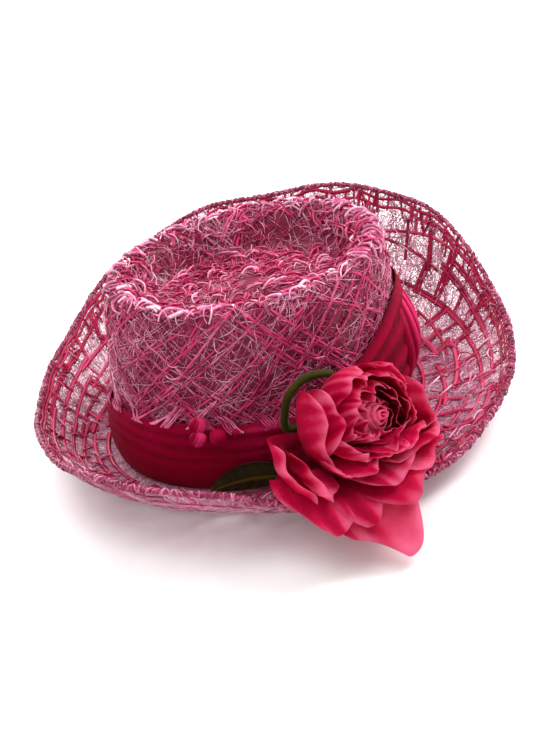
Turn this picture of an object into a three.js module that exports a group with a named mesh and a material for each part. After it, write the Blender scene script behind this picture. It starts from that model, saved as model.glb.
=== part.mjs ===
// Raffia occasion hat: an open crown with a sunken oval tip, a turned-up wired brim, a draped
// chiffon band with a knot and a button, and a folded rose with its stem and leaf.
// Millimetres, +Z up. The head's long axis runs along Y, the front of the hat looks to -Y and
// the rose sits on the wearer's right, at -X. The origin is on the floor under the box's centre.
//
// A place round the hat is a plan angle in degrees: 0 front, 90 wearer's right, 180 back,
// 270 wearer's left.
import * as THREE from "three";

// Head opening and fabric
const headLong = 195.6;
const headWide = 160;
const strawWall = 2;
const clearance = 0.3;

// Crown
const crownHeight = 117.5;
const crownTaper = 14.4;
const crownForward = 9.3;
const ridgeWidth = 13;
const tipDepth = 22;
const crownSpokes = 40;

// Brim
const brimFront = 74;
const brimBack = 57;
const brimSide = 70;
const brimSeat = 14;
const brimLift = 91;
const brimCurl = 12;
const brimRuffle = 1.5;
const ruffleCount = 11;
const brimSpokes = 60;
const edgeRadius = 2.3;
const edgeSides = 6;

// Band
const bandWall = 2.2;
const bandHeight = 86;
const bandFullness = 3.6;
const pleatDepth = 1.1;
const bandEase = 0.5;
const gatherAngle = 14;
const gatherHalfAngle = 15;
const gatherDepth = 5.5;
const gatherFolds = 5;
const gatherHeight = 76;

// Knot, button and bead
const knotAngle = 119;
const knotLength = 12;
const knotWidth = 8.5;
const buttonAngle = 112;
const buttonRadius = 5.2;
const beadAngle = 106;
const beadRadius = 2.4;

// Rose: where it sits, where it looks, and its parts
const roseAngle = 71;
const roseOut = 38;
const roseHeight = 54;
const roseTurn = 50;
const roseTilt = 30;
const roseRadius = 46;
const roseRoot = 16;
const heartRadius = 9;
const heartLength = 17;
const heartSeat = 0.3;
const petalWall = 1.1;
const petalPitch = 2;
const petalRoot = 0.05;
const rootSpan = 200;
const petalGive = 0.3;
const softLayers = 8;
const drapeStep = 5.3;
const stemRadius = 2.8;
const leafAngle = 102;
const leafLength = 50;
const leafWidth = 18;
const leafWall = 1.4;
const leafOut = 4.7;

// The crown's section from its base over the ridge to the middle of the sunken tip. The columns
// are shares of crownHeight, crownTaper, ridgeWidth, tipDepth and the way to the middle.
const crownSections = [
  { rise: 0, taper: 0, inward: 0, sink: 0, centre: 0 },
  { rise: 0.16, taper: 0.05, inward: 0, sink: 0, centre: 0 },
  { rise: 0.34, taper: 0.13, inward: 0, sink: 0, centre: 0 },
  { rise: 0.52, taper: 0.24, inward: 0, sink: 0, centre: 0 },
  { rise: 0.69, taper: 0.37, inward: 0, sink: 0, centre: 0 },
  { rise: 0.83, taper: 0.51, inward: 0, sink: 0, centre: 0 },
  { rise: 0.92, taper: 0.66, inward: 0, sink: 0, centre: 0 },
  { rise: 0.975, taper: 0.82, inward: 0, sink: 0, centre: 0 },
  { rise: 1, taper: 1, inward: 0.05, sink: 0, centre: 0 },
  { rise: 1, taper: 1, inward: 0.5, sink: 0.05, centre: 0 },
  { rise: 1, taper: 1, inward: 0.9, sink: 0.24, centre: 0 },
  { rise: 1, taper: 1, inward: 1.2, sink: 0.52, centre: 0 },
  { rise: 1, taper: 1, inward: 1.55, sink: 0.8, centre: 0 },
  { rise: 1, taper: 1, inward: 2.15, sink: 0.96, centre: 0 },
  { rise: 1, taper: 1, inward: 2.15, sink: 1, centre: 0.24 },
  { rise: 1, taper: 1, inward: 2.15, sink: 0.94, centre: 0.5 },
  { rise: 1, taper: 1, inward: 2.15, sink: 0.86, centre: 0.75 },
  { rise: 1, taper: 1, inward: 2.15, sink: 0.82, centre: 1 },
];

// The ridge round the crown: its height as a share of crownHeight, its bulge of ridgeWidth.
const ridgeShape = [
  { angle: 0, height: 0.012, bulge: -0.05 },
  { angle: 40, height: 0.004, bulge: 0.16 },
  { angle: 80, height: -0.022, bulge: -0.1 },
  { angle: 125, height: -0.006, bulge: 0.12 },
  { angle: 180, height: 0.01, bulge: 0.05 },
  { angle: 230, height: -0.008, bulge: 0.12 },
  { angle: 280, height: 0.006, bulge: -0.12 },
  { angle: 325, height: -0.004, bulge: 0.1 },
];

// The brim's edge: its height as a share of brimLift, its reach as a share of the brim's width,
// how late it turns up, from 0, at the head, to 1, at the edge, and the steeper roll of its last
// quarter as a share of brimCurl.
const brimShape = [
  { angle: 0, lift: 0.36, reach: 1.02, turn: 0.6, curl: 0.4 },
  { angle: 15, lift: 0.29, reach: 1.02, turn: 0.62, curl: 0.4 },
  { angle: 30, lift: 0.23, reach: 1.04, turn: 0.62, curl: 0.4 },
  { angle: 45, lift: 0.16, reach: 1.05, turn: 0.6, curl: 0.5 },
  { angle: 60, lift: 0.1, reach: 1.02, turn: 0.5, curl: 0.6 },
  { angle: 75, lift: 0.1, reach: 0.98, turn: 0.4, curl: 0.8 },
  { angle: 90, lift: 0.19, reach: 0.96, turn: 0.32, curl: 1.1 },
  { angle: 105, lift: 0.3, reach: 0.96, turn: 0.26, curl: 1.3 },
  { angle: 120, lift: 0.38, reach: 0.95, turn: 0.24, curl: 1.3 },
  { angle: 135, lift: 0.39, reach: 0.94, turn: 0.24, curl: 1.1 },
  { angle: 150, lift: 0.37, reach: 0.92, turn: 0.28, curl: 0.9 },
  { angle: 165, lift: 0.34, reach: 0.9, turn: 0.34, curl: 0.7 },
  { angle: 180, lift: 0.32, reach: 0.9, turn: 0.42, curl: 0.5 },
  { angle: 195, lift: 0.32, reach: 0.92, turn: 0.48, curl: 0.4 },
  { angle: 210, lift: 0.39, reach: 0.95, turn: 0.5, curl: 0.3 },
  { angle: 225, lift: 0.54, reach: 0.97, turn: 0.5, curl: 0.3 },
  { angle: 240, lift: 0.7, reach: 0.98, turn: 0.5, curl: 0.3 },
  { angle: 255, lift: 0.83, reach: 0.99, turn: 0.5, curl: 0.3 },
  { angle: 270, lift: 0.91, reach: 0.99, turn: 0.5, curl: 0.3 },
  { angle: 285, lift: 0.95, reach: 0.99, turn: 0.5, curl: 0.25 },
  { angle: 300, lift: 0.96, reach: 1.01, turn: 0.5, curl: 0.25 },
  { angle: 315, lift: 0.94, reach: 1.04, turn: 0.5, curl: 0.25 },
  { angle: 330, lift: 0.81, reach: 1.07, turn: 0.52, curl: 0.3 },
  { angle: 345, lift: 0.56, reach: 1.06, turn: 0.56, curl: 0.35 },
];

// The band's top edge as a share of bandHeight, and how full it is, of bandFullness.
const bandShape = [
  { angle: 0, top: 0.97, full: 1.1 },
  { angle: 22, top: 1, full: 1.3 },
  { angle: 43, top: 0.86, full: 1.1 },
  { angle: 60, top: 0.7, full: 0.9 },
  { angle: 75, top: 0.57, full: 0.8 },
  { angle: 95, top: 0.54, full: 0.9 },
  { angle: 120, top: 0.59, full: 1 },
  { angle: 155, top: 0.57, full: 1.1 },
  { angle: 190, top: 0.51, full: 1 },
  { angle: 230, top: 0.48, full: 0.8 },
  { angle: 270, top: 0.5, full: 0.8 },
  { angle: 310, top: 0.64, full: 0.9 },
  { angle: 340, top: 0.86, full: 1 },
];

// The band's outer face from foot to top: share of its height, share of its fullness, and the
// pleat's place, +1 on a pleat and -1 between two.
const bandSections = [
  { height: 0, full: 0.25, pleat: 0 },
  { height: 0.1, full: 0.8, pleat: 1 },
  { height: 0.22, full: 0.95, pleat: -1 },
  { height: 0.36, full: 1.05, pleat: 1 },
  { height: 0.5, full: 1, pleat: -1 },
  { height: 0.64, full: 0.95, pleat: 1 },
  { height: 0.77, full: 0.75, pleat: -1 },
  { height: 0.9, full: 0.5, pleat: 1 },
  { height: 1, full: 0.05, pleat: 0 },
];

// The rose's petals from the heart outwards. turn and span are degrees round the rose's axis,
// with 0 towards the crown's top; lip is the angle from its root to its lip, reach the lip's
// distance from the middle as a share of roseRadius, and point how far its tip stands out.
const petals = [
  { turn: 20, span: 200, lip: 152, reach: 0.38, point: 0 },
  { turn: 200, span: 200, lip: 146, reach: 0.475, point: 0 },
  { turn: 325, span: 156, lip: 140, reach: 0.58, point: 0.02 },
  { turn: 90, span: 150, lip: 134, reach: 0.68, point: 0.03 },
  { turn: 232, span: 146, lip: 128, reach: 0.78, point: 0.03 },
  { turn: 122, span: 108, lip: 118, reach: 0.94, point: 0.05 },
  { turn: 285, span: 110, lip: 114, reach: 1, point: 0.04 },
  { turn: 163, span: 108, lip: 108, reach: 1.14, point: 0.06 },
  { turn: 258, span: 74, lip: 102, reach: 1.3, point: 0.06 },
  { turn: 242, span: 62, lip: 99, reach: 1.64, point: 0.08 },
  { turn: 206, span: 56, lip: 98, reach: 2, point: 0.3 },
];

// The stem's centre line from its free end to the rose's root, chosen by hand.
const stemPoints = [
  [-82, -40, 68],
  [-86, -31, 73],
  [-88, -20, 73],
  [-90, -11, 67],
  [-92, -6, 57],
  [-93, -5, 46],
];

const palette = {
  straw: { color: 0xbe4678, roughness: 0.45, metalness: 0 },
  edge: { color: 0x9c3060, roughness: 0.5, metalness: 0 },
  chiffon: { color: 0xc4104e, roughness: 0.6, metalness: 0 },
  organza: { color: 0xe0245f, roughness: 0.5, metalness: 0 },
  stem: { color: 0x4c5518, roughness: 0.6, metalness: 0 },
  leaf: { color: 0x3a3a12, roughness: 0.6, metalness: 0 },
};

const { lerp, degToRad, radToDeg, clamp } = THREE.MathUtils;

/** Eases a share from 0 to 1 with level ends. */
function ease(share) {
  const t = clamp(share, 0, 1);
  return t * t * (3 - 2 * t);
}

/** Reads a column of a table round the hat at a plan angle, smoothly and without a seam. */
function readRound(table, column, degrees) {
  const angle = ((degrees % 360) + 360) % 360;
  const count = table.length;
  let low = count - 1;
  while (low > 0 && table[low].angle > angle) {
    low -= 1;
  }
  const value = (step) => table[(low + step + count) % count][column];
  const place = (step) => {
    const turns = Math.floor((low + step) / count);
    return table[(low + step + count) % count].angle + 360 * turns;
  };
  const width = place(1) - place(0);
  const t = (angle - place(0)) / width;
  const leaving = ((value(1) - value(-1)) / (place(1) - place(-1))) * width;
  const arriving = ((value(2) - value(0)) / (place(2) - place(0))) * width;
  const t2 = t * t;
  const t3 = t2 * t;
  return (
    value(0) * (2 * t3 - 3 * t2 + 1) +
    leaving * (t3 - 2 * t2 + t) +
    value(1) * (3 * t2 - 2 * t3) +
    arriving * (t3 - t2)
  );
}

/** A point on an oval of two half sizes at a plan angle. */
function ovalPoint(halfLong, halfWide, degrees, height) {
  const angle = degToRad(degrees);
  return new THREE.Vector3(-halfWide * Math.sin(angle), -halfLong * Math.cos(angle), height);
}

/** The direction out of a skin at two of its coordinates, or straight up where it has a pole. */
function skinNormal(skin, u, v, stepU, stepV) {
  const alongU = skin(u + stepU, v).sub(skin(u - stepU, v));
  const alongV = skin(u, v + stepV).sub(skin(u, v - stepV));
  const normal = alongU.cross(alongV);
  return normal.length() < 1e-9 ? new THREE.Vector3(0, 0, 1) : normal.normalize();
}

/**
 * Makes one closed body from loops of points. The end loops are capped or joined. The second half
 * of the loops, or of each loop, is the back of a thin wall: its faces are cut along the same
 * diagonals as the front's, so that the two never cross.
 */
function solidFromLoops(loops, joined) {
  const points = [];
  const places = new Map();
  const number = (point) => {
    const key = [point.x, point.y, point.z].map((value) => Math.round(value * 2000)).join(",");
    if (!places.has(key)) {
      places.set(key, points.length / 3);
      points.push(point.x, point.y, point.z);
    }
    return places.get(key);
  };
  const rows = loops.map((loop) => loop.map(number));
  const faces = [];
  const addFace = (a, b, c) => {
    if (a !== b && b !== c && c !== a) {
      faces.push(a, b, c);
    }
  };
  const width = rows[0].length;
  const bands = joined ? rows.length : rows.length - 1;
  for (let i = 0; i < bands; i += 1) {
    const here = rows[i];
    const next = rows[(i + 1) % rows.length];
    for (let j = 0; j < width; j += 1) {
      const k = (j + 1) % width;
      const onBack = joined ? i >= rows.length / 2 : j >= width / 2;
      if (onBack) {
        addFace(here[j], here[k], next[j]);
        addFace(here[k], next[k], next[j]);
      } else {
        addFace(here[j], here[k], next[k]);
        addFace(here[j], next[k], next[j]);
      }
    }
  }
  if (!joined) {
    const last = rows[rows.length - 1];
    for (let j = 0; j < width / 2 - 1; j += 1) {
      const far = width - 1 - j;
      addFace(rows[0][j + 1], rows[0][j], rows[0][far]);
      addFace(rows[0][j + 1], rows[0][far], rows[0][far - 1]);
      addFace(last[j], last[j + 1], last[far]);
      addFace(last[j + 1], last[far - 1], last[far]);
    }
  }
  const geometry = new THREE.BufferGeometry();
  geometry.setAttribute("position", new THREE.Float32BufferAttribute(points, 3));
  geometry.setIndex(facingOut(points, faces));
  geometry.computeVertexNormals();
  return geometry;
}

/** Turns the faces round where they enclose a negative volume. */
function facingOut(points, faces) {
  const corner = (index) => new THREE.Vector3().fromArray(points, 3 * index);
  let volume = 0;
  for (let i = 0; i < faces.length; i += 3) {
    const [a, b, c] = [corner(faces[i]), corner(faces[i + 1]), corner(faces[i + 2])];
    volume += a.dot(b.cross(c));
  }
  return volume < 0 ? faces.slice().reverse() : faces;
}

/** A sheet of even thickness on a skin, from a grid of its two coordinates. */
function sheetSolid(skin, rows, columns, wall) {
  const step = 1e-3;
  const loops = [];
  for (let i = 0; i <= rows; i += 1) {
    const front = [];
    const back = [];
    for (let j = 0; j <= columns; j += 1) {
      const u = i / rows;
      const v = j / columns;
      const inU = clamp(u, 2 * step, 1 - 2 * step);
      const inV = clamp(v, 2 * step, 1 - 2 * step);
      const half = skinNormal(skin, inU, inV, step, step).multiplyScalar(wall / 2);
      front.push(skin(u, v).add(half));
      back.unshift(skin(u, v).sub(half));
    }
    loops.push([...front, ...back]);
  }
  return solidFromLoops(loops, false);
}

/** A named mesh with the finish that the palette gives. */
function makeMesh(name, geometry, finish) {
  const material = new THREE.MeshStandardMaterial(palette[finish]);
  const mesh = new THREE.Mesh(geometry, material);
  mesh.name = name;
  return mesh;
}

// Crown

const crownFoot = strawWall + clearance;

/** A point of the crown's outer skin from a row of crownSections and a plan angle. */
function crownPoint(row, degrees) {
  const ridge = readRound(ridgeShape, "bulge", degrees) * ridgeWidth * row.taper;
  const inset = row.taper * crownTaper + row.inward * ridgeWidth - ridge;
  const still = 1 - row.centre;
  const halfLong = (headLong / 2 + strawWall - inset) * still;
  const halfWide = (headWide / 2 + strawWall - inset) * still;
  const swell = readRound(ridgeShape, "height", degrees) * crownHeight * row.rise ** 2 * still;
  const height = crownFoot + row.rise * crownHeight - row.sink * tipDepth + swell;
  const point = ovalPoint(halfLong, halfWide, degrees, height);
  point.y -= crownForward * row.rise;
  return point;
}

/** The row of crownSections at a place between its rows. */
function crownRow(place) {
  const low = clamp(Math.floor(place), 0, crownSections.length - 2);
  const share = place - low;
  const row = {};
  for (const column of Object.keys(crownSections[0])) {
    row[column] = lerp(crownSections[low][column], crownSections[low + 1][column], share);
  }
  return row;
}

/** The crown's outer skin at a share of its height, below the ridge. */
function crownWallPoint(rise, degrees) {
  let low = 0;
  while (crownSections[low + 1].rise < rise) {
    low += 1;
  }
  const step = crownSections[low + 1].rise - crownSections[low].rise;
  return crownPoint(crownRow(low + (rise - crownSections[low].rise) / step), degrees);
}

function makeCrown() {
  const skin = (place, degrees) => crownPoint(crownRow(place), degrees);
  const outer = [];
  const inner = [];
  for (let i = 0; i < crownSections.length; i += 1) {
    const outerLoop = [];
    const innerLoop = [];
    for (let j = 0; j < crownSpokes; j += 1) {
      const degrees = (360 * j) / crownSpokes;
      const point = skin(i, degrees);
      const normal = skinNormal(skin, clamp(i, 0.01, crownSections.length - 1.01), degrees, 0.01, 0.5);
      const inside = point.clone().addScaledVector(normal, -strawWall);
      if (i === 0) {
        inside.z = crownFoot;
      }
      if (i === crownSections.length - 1) {
        inside.copy(point).setZ(point.z - strawWall);
      }
      outerLoop.push(point);
      innerLoop.push(inside);
    }
    outer.push(outerLoop);
    inner.unshift(innerLoop);
  }
  return makeMesh("crown", solidFromLoops([...outer, ...inner], true), "straw");
}

// Brim

/** The brim's width from the head opening at a plan angle. */
function brimWidth(degrees, alongHead) {
  if (!alongHead) {
    return brimSide;
  }
  return Math.cos(degToRad(degrees)) > 0 ? brimFront : brimBack;
}

/** A point of the brim's underside. turned runs from 0, at its flat seat, to 1, at its edge. */
function brimPoint(turned, degrees) {
  const reach = readRound(brimShape, "reach", degrees);
  const turn = readRound(brimShape, "turn", degrees);
  const lift = readRound(brimShape, "lift", degrees) * brimLift;
  const curl = readRound(brimShape, "curl", degrees) * brimCurl * turned ** 6;
  const ripple = brimRuffle * turned ** 3 * Math.sin(degToRad(degrees * ruffleCount));
  const t = Math.max(turned, 0);
  const out = t > 0 ? 2 * t * (1 - t) * turn + t * t : turned;
  const spread = (width) => brimSeat + (width * reach - brimSeat) * out;
  const halfLong = headLong / 2 + spread(brimWidth(degrees, true));
  const halfWide = headWide / 2 + spread(brimWidth(degrees, false));
  return ovalPoint(halfLong, halfWide, degrees, t * t * lift + curl + ripple);
}

const brimSteps = [0.16, 0.32, 0.48, 0.63, 0.77, 0.89, 1];

function makeBrim() {
  const lower = [];
  const upper = [];
  const loopOf = (pointAt) => {
    return Array.from({ length: brimSpokes }, (_, j) => pointAt((360 * j) / brimSpokes));
  };
  const headPoint = (degrees, height) => ovalPoint(headLong / 2, headWide / 2, degrees, height);
  lower.push(loopOf((degrees) => headPoint(degrees, 0)));
  upper.unshift(loopOf((degrees) => headPoint(degrees, strawWall)));
  lower.push(loopOf((degrees) => brimPoint(0, degrees)));
  upper.unshift(loopOf((degrees) => brimPoint(0, degrees).setZ(strawWall)));
  for (const turned of brimSteps) {
    lower.push(loopOf((degrees) => brimPoint(turned, degrees)));
    upper.unshift(loopOf((degrees) => brimTop(turned, degrees)));
  }
  return makeMesh("brim", solidFromLoops([...lower, ...upper], true), "straw");
}

/** A point of the brim's upper face. */
function brimTop(turned, degrees) {
  const at = clamp(turned, 0.01, 0.99);
  const normal = skinNormal(brimPoint, at, degrees, 0.01, 0.5);
  return brimPoint(turned, degrees).addScaledVector(normal, -strawWall);
}

/** The middle of the brim's raw edge, and the direction out of it. */
function brimRim(degrees) {
  const middle = brimPoint(1, degrees).add(brimTop(1, degrees)).multiplyScalar(0.5);
  const outward = brimPoint(1, degrees).sub(brimPoint(0.97, degrees)).normalize();
  return { middle, outward };
}

function makeBrimEdge() {
  const loops = Array.from({ length: edgeSides }, () => []);
  for (let j = 0; j < brimSpokes; j += 1) {
    const degrees = (360 * j) / brimSpokes;
    const { middle, outward } = brimRim(degrees);
    const along = brimRim(degrees + 1).middle.sub(brimRim(degrees - 1).middle).normalize();
    const across = new THREE.Vector3().crossVectors(outward, along).normalize();
    const centre = middle.addScaledVector(outward, edgeRadius + clearance);
    loops.forEach((loop, i) => {
      const angle = (2 * Math.PI * (i + 0.5)) / edgeSides;
      const point = centre.clone();
      point.addScaledVector(outward, edgeRadius * Math.cos(angle));
      point.addScaledVector(across, edgeRadius * Math.sin(angle));
      loop.push(point);
    });
  }
  return makeMesh("brim_edge", solidFromLoops(loops, true), "edge");
}

/** How high the brim, its edge or the floor stands under a plan place. */
function restHeight(x, y) {
  const share = (turned, degrees) => {
    const point = brimPoint(turned, degrees);
    return Math.hypot(point.x, point.y);
  };
  const degrees = radToDeg(Math.atan2(-x / (headWide + brimSide), -y / (headLong + brimFront)));
  const distance = Math.hypot(x, y);
  const edge = share(1, degrees);
  const edgeSize = 2 * edgeRadius + clearance + strawWall;
  const edgeTop = brimPoint(1, degrees).z + edgeSize;
  if (distance > edge) {
    return lerp(edgeTop, 0, ease((distance - edge - edgeSize) / (2.2 * edgeTop)));
  }
  let low = 0;
  let high = 1;
  for (let i = 0; i < 12; i += 1) {
    const middle = (low + high) / 2;
    if (share(middle, degrees) < distance) {
      low = middle;
    } else {
      high = middle;
    }
  }
  return lerp(brimTop(low, degrees).z, edgeTop, ease(low * 3 - 1.8));
}

// Band

/** The height of a share of the band at a plan angle, above the floor. */
function bandLevel(share, degrees) {
  const top = readRound(bandShape, "top", degrees) * bandHeight;
  return lerp(crownFoot, top, share);
}

/** A point out from the crown's wall at a height, by a distance along the plan's normal. */
function offCrown(height, degrees, distance) {
  const rise = (height - crownFoot) / crownHeight;
  const point = crownWallPoint(rise, degrees);
  const before = crownWallPoint(rise, degrees - 1);
  const after = crownWallPoint(rise, degrees + 1);
  const along = after.sub(before);
  const outward = new THREE.Vector3(-along.y, along.x, 0).normalize();
  return point.setZ(height).addScaledVector(outward, distance);
}

/** A point of the band's outer face, from a row of bandSections. */
function bandPoint(row, degrees) {
  const full = readRound(bandShape, "full", degrees) * bandFullness * row.full;
  const out = bandEase + bandWall + full + pleatDepth * row.pleat;
  return offCrown(bandLevel(row.height, degrees), degrees, out);
}

/** The band's outer face at a share of its height. */
function bandFace(share, degrees) {
  let low = 0;
  while (bandSections[low + 1].height < share) {
    low += 1;
  }
  const here = bandSections[low];
  const next = bandSections[low + 1];
  const t = (share - here.height) / (next.height - here.height);
  const row = {
    height: share,
    full: lerp(here.full, next.full, t),
    pleat: lerp(here.pleat, next.pleat, t),
  };
  return bandPoint(row, degrees);
}

function makeBand() {
  const outer = [];
  const inner = [];
  for (const row of bandSections) {
    const outerLoop = [];
    const innerLoop = [];
    for (let j = 0; j < crownSpokes; j += 1) {
      const degrees = (360 * j) / crownSpokes;
      outerLoop.push(bandPoint(row, degrees));
      innerLoop.push(offCrown(bandLevel(row.height, degrees), degrees, bandEase));
    }
    outer.push(outerLoop);
    inner.unshift(innerLoop);
  }
  return makeMesh("hat_band", solidFromLoops([...outer, ...inner], true), "chiffon");
}

/** The bunched upright folds of the band at the front right, lying on the band's face. */
function makeGather() {
  const rows = 6;
  const columns = 18;
  const foot = 0.12;
  const loops = [];
  for (let i = 0; i <= rows; i += 1) {
    const share = i / rows;
    const level = lerp(foot, gatherHeight / bandHeight, share);
    const front = [];
    const back = [];
    for (let j = 0; j <= columns; j += 1) {
      const across = (2 * j) / columns - 1;
      const degrees = gatherAngle + across * gatherHalfAngle;
      const face = bandFace(level, degrees);
      const outward = ovalPoint(headWide, headLong, degrees, 0).normalize();
      const waist = 0.45 + 0.55 * Math.sin(Math.PI * clamp(share, 0.06, 0.94));
      const fold = 0.72 + 0.28 * Math.cos(Math.PI * gatherFolds * across);
      const dome = Math.sqrt(Math.max(1 - across * across, 0));
      const seat = clearance + pleatDepth;
      back.unshift(face.clone().addScaledVector(outward, seat));
      front.push(face.addScaledVector(outward, seat + 0.6 + gatherDepth * waist * fold * dome));
    }
    loops.push([...front, ...back]);
  }
  return makeMesh("band_gather", solidFromLoops(loops, false), "chiffon");
}

/** A rounded piece that sits on the band's face at a plan angle and a height. */
function seatOnBand(name, geometry, degrees, height, halfDepth, lean, finish) {
  const share = clamp((height - crownFoot) / (bandLevel(1, degrees) - crownFoot), 0, 1);
  const face = bandFace(share, degrees);
  const outward = ovalPoint(headWide, headLong, degrees, 0).normalize();
  const mesh = makeMesh(name, geometry, finish);
  const out = halfDepth + 0.4 * pleatDepth + clearance;
  mesh.position.set(face.x + outward.x * out, face.y + outward.y * out, height);
  mesh.rotation.set(lean, 0, Math.atan2(outward.y, outward.x));
  return mesh;
}

/** A ball with closed poles, pressed to half sizes along its own axes. */
function ball(depth, length, height, sides) {
  const geometry = new THREE.SphereGeometry(1, sides, Math.round(sides * 0.7));
  geometry.scale(depth, length, height);
  return geometry;
}

function makeKnot() {
  const height = bandLevel(0.97, knotAngle);
  const lobe = () => ball(knotWidth * 0.42, knotLength / 2, knotWidth / 2, 12);
  const rise = knotWidth * 0.46;
  return [
    seatOnBand("knot_lobe_upper", lobe(), knotAngle, height + rise, knotWidth * 0.42, 0.25, "chiffon"),
    seatOnBand("knot_lobe_lower", lobe(), knotAngle, height - rise, knotWidth * 0.42, 0.1, "chiffon"),
    seatOnBand(
      "band_button",
      ball(buttonRadius, buttonRadius, buttonRadius, 12),
      buttonAngle,
      height - buttonRadius * 0.5,
      buttonRadius,
      0,
      "chiffon",
    ),
    seatOnBand(
      "band_bead",
      ball(beadRadius, beadRadius, beadRadius, 8),
      beadAngle,
      height - buttonRadius * 0.6,
      beadRadius,
      0,
      "chiffon",
    ),
  ];
}

// Rose

const roseLook = ovalPoint(1, 1, roseTurn, 0).multiplyScalar(Math.cos(degToRad(roseTilt)));
roseLook.z = Math.sin(degToRad(roseTilt));
const roseSide = new THREE.Vector3(0, 0, 1).cross(roseLook).normalize();
const roseUp = new THREE.Vector3().crossVectors(roseLook, roseSide).normalize();
const roseMiddle = offCrown(roseHeight, roseAngle, roseOut + bandWall + bandFullness);

/** A point at a distance from the rose's middle. fromRoot and turn are degrees. */
function rosePoint(distance, fromRoot, turn) {
  const polar = degToRad(fromRoot);
  const round = degToRad(turn);
  const point = roseMiddle.clone();
  point.addScaledVector(roseLook, -distance * Math.cos(polar));
  point.addScaledVector(roseUp, distance * Math.sin(polar) * Math.cos(round));
  point.addScaledVector(roseSide, distance * Math.sin(polar) * Math.sin(round));
  return point;
}

/** The skin of a petal: along from its root to its lip, across from side to side. */
function petalSkin(petal, layer) {
  const root = roseRoot + layer * petalPitch;
  const under = petals.length - layer;
  const lift = drapeStep * (Math.min(under, 4) - 0.5 + 0.6 * clamp(under - 4, 0, 4));
  const give = petalGive * Math.max(1 - layer / softLayers, 0);
  return (share, across) => {
    const along = lerp(petalRoot, 1, share);
    const sideways = 2 * across - 1;
    const width = lerp(rootSpan, petal.span, ease(along * 4)) * (1 - 0.35 * along ** 3);
    const turn = petal.turn + (sideways * width) / 2;
    const round = 1 - 0.12 * along * sideways ** 4;
    const fromRoot = petal.lip * along * round;
    const opened = ease(along) * (1 - 0.05 * along * sideways ** 2);
    const tip = petal.point * roseRadius * along ** 4 * (1 - Math.abs(sideways)) ** 2;
    const flute = 0.15 * petalPitch * along ** 2 * Math.cos(3 * Math.PI * sideways + layer);
    const distance = lerp(root, petal.reach * roseRadius, opened) + tip + flute;
    const point = rosePoint(distance, fromRoot, turn);
    const ground = restHeight(point.x, point.y) + lift + petalWall;
    const gap = point.z - ground;
    point.z = ground + (gap > 0 ? gap : gap * give);
    return point;
  };
}

function makePetals() {
  return petals.map((petal, layer) => {
    const name = `rose_petal_${String(layer + 1).padStart(2, "0")}`;
    const geometry = sheetSolid(petalSkin(petal, layer), 6, 7, petalWall);
    return makeMesh(name, geometry, "organza");
  });
}

/** The rolled heart: a bud whose side carries the spiral step of its wound strip. */
function makeHeart() {
  const rows = 8;
  const sides = 14;
  const foot = roseRoot - petalWall / 2 - 2 * clearance;
  const loops = [];
  for (let i = 0; i <= rows; i += 1) {
    const share = i / rows;
    const loop = [];
    for (let j = 0; j < sides; j += 1) {
      const round = j / sides;
      const seat = share < 0.5 ? heartSeat : 0;
      const swell = Math.max(Math.sin(Math.PI * share ** 0.8) ** 0.6, seat);
      const step = 1 - 0.12 * ((round + 2 * share) % 1);
      const point = rosePoint(0, 0, 0);
      point.addScaledVector(roseLook, lerp(-foot, heartLength, share));
      point.addScaledVector(roseUp, heartRadius * swell * step * Math.cos(2 * Math.PI * round));
      point.addScaledVector(roseSide, heartRadius * swell * step * Math.sin(2 * Math.PI * round));
      loop.push(point);
    }
    loops.push(loop);
  }
  return makeMesh("rose_heart", solidFromLoops(loops, false), "organza");
}

/** The bent stem: a padded tube from its free end to the root of the rose. */
function makeStem() {
  const outer = roseRoot + (petals.length - 1) * petalPitch + petalWall / 2;
  const root = rosePoint(outer + stemRadius + clearance, 0, 0);
  const points = stemPoints.map((place) => new THREE.Vector3(...place));
  points.push(root.clone().add(new THREE.Vector3(0, 8, 8)), root);
  const path = new THREE.CatmullRomCurve3(points, false, "centripetal");
  const section = new THREE.Shape();
  section.absarc(0, 0, stemRadius, 0, 2 * Math.PI, false);
  const geometry = new THREE.ExtrudeGeometry(section, {
    steps: 18,
    curveSegments: 4,
    bevelEnabled: false,
    extrudePath: path,
  });
  return makeMesh("rose_stem", geometry, "stem");
}

/** The leaf, leaning on the band above the brim's seat. */
function makeLeaf() {
  const halfTurn = (leafLength / (headLong / 2)) * 28;
  const skin = (along, across) => {
    const degrees = leafAngle + halfTurn * (1 - 2 * along);
    const width = leafWidth * Math.sin(Math.PI * clamp(along * 0.9 + 0.04, 0, 1)) ** 0.7;
    const lean = offCrown(crownFoot + 6, degrees, bandEase + bandWall + bandFullness + leafOut);
    const outward = ovalPoint(headWide, headLong, degrees, 0).normalize();
    const high = across * width;
    lean.addScaledVector(outward, 2 - 0.25 * high + 1.5 * Math.cos(Math.PI * (2 * across - 1)));
    lean.z += high - 0.08 * leafWidth;
    return lean;
  };
  return makeMesh("rose_leaf", sheetSolid(skin, 9, 4, leafWall), "leaf");
}

const hat = new THREE.Group();
hat.add(makeCrown(), makeBrim(), makeBrimEdge(), makeBand(), makeGather());
hat.add(...makeKnot(), makeHeart(), ...makePetals(), makeStem(), makeLeaf());

// The outer group stands the hat on the floor with the middle of its box over the origin.
const box = new THREE.Box3().setFromObject(hat, true);
const middle = box.getCenter(new THREE.Vector3());
hat.position.set(-middle.x, -middle.y, -box.min.z);

const part = new THREE.Group();
part.add(hat);

export default part;
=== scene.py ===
"""Raffia hat: the dressed model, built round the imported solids.

The crown and the brim are an open net of shiny filament under laid raffia, the band is pleated
chiffon, and the rose is folded organza with a satin stem and leaf. The hat's forms repeat the
named sizes and tables of the part's source, so that each piece lies where its solid lies.
Places round the hat are plan angles in degrees: 0 front, 90 wearer's right, 180 back.
"""

from __future__ import annotations

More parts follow.
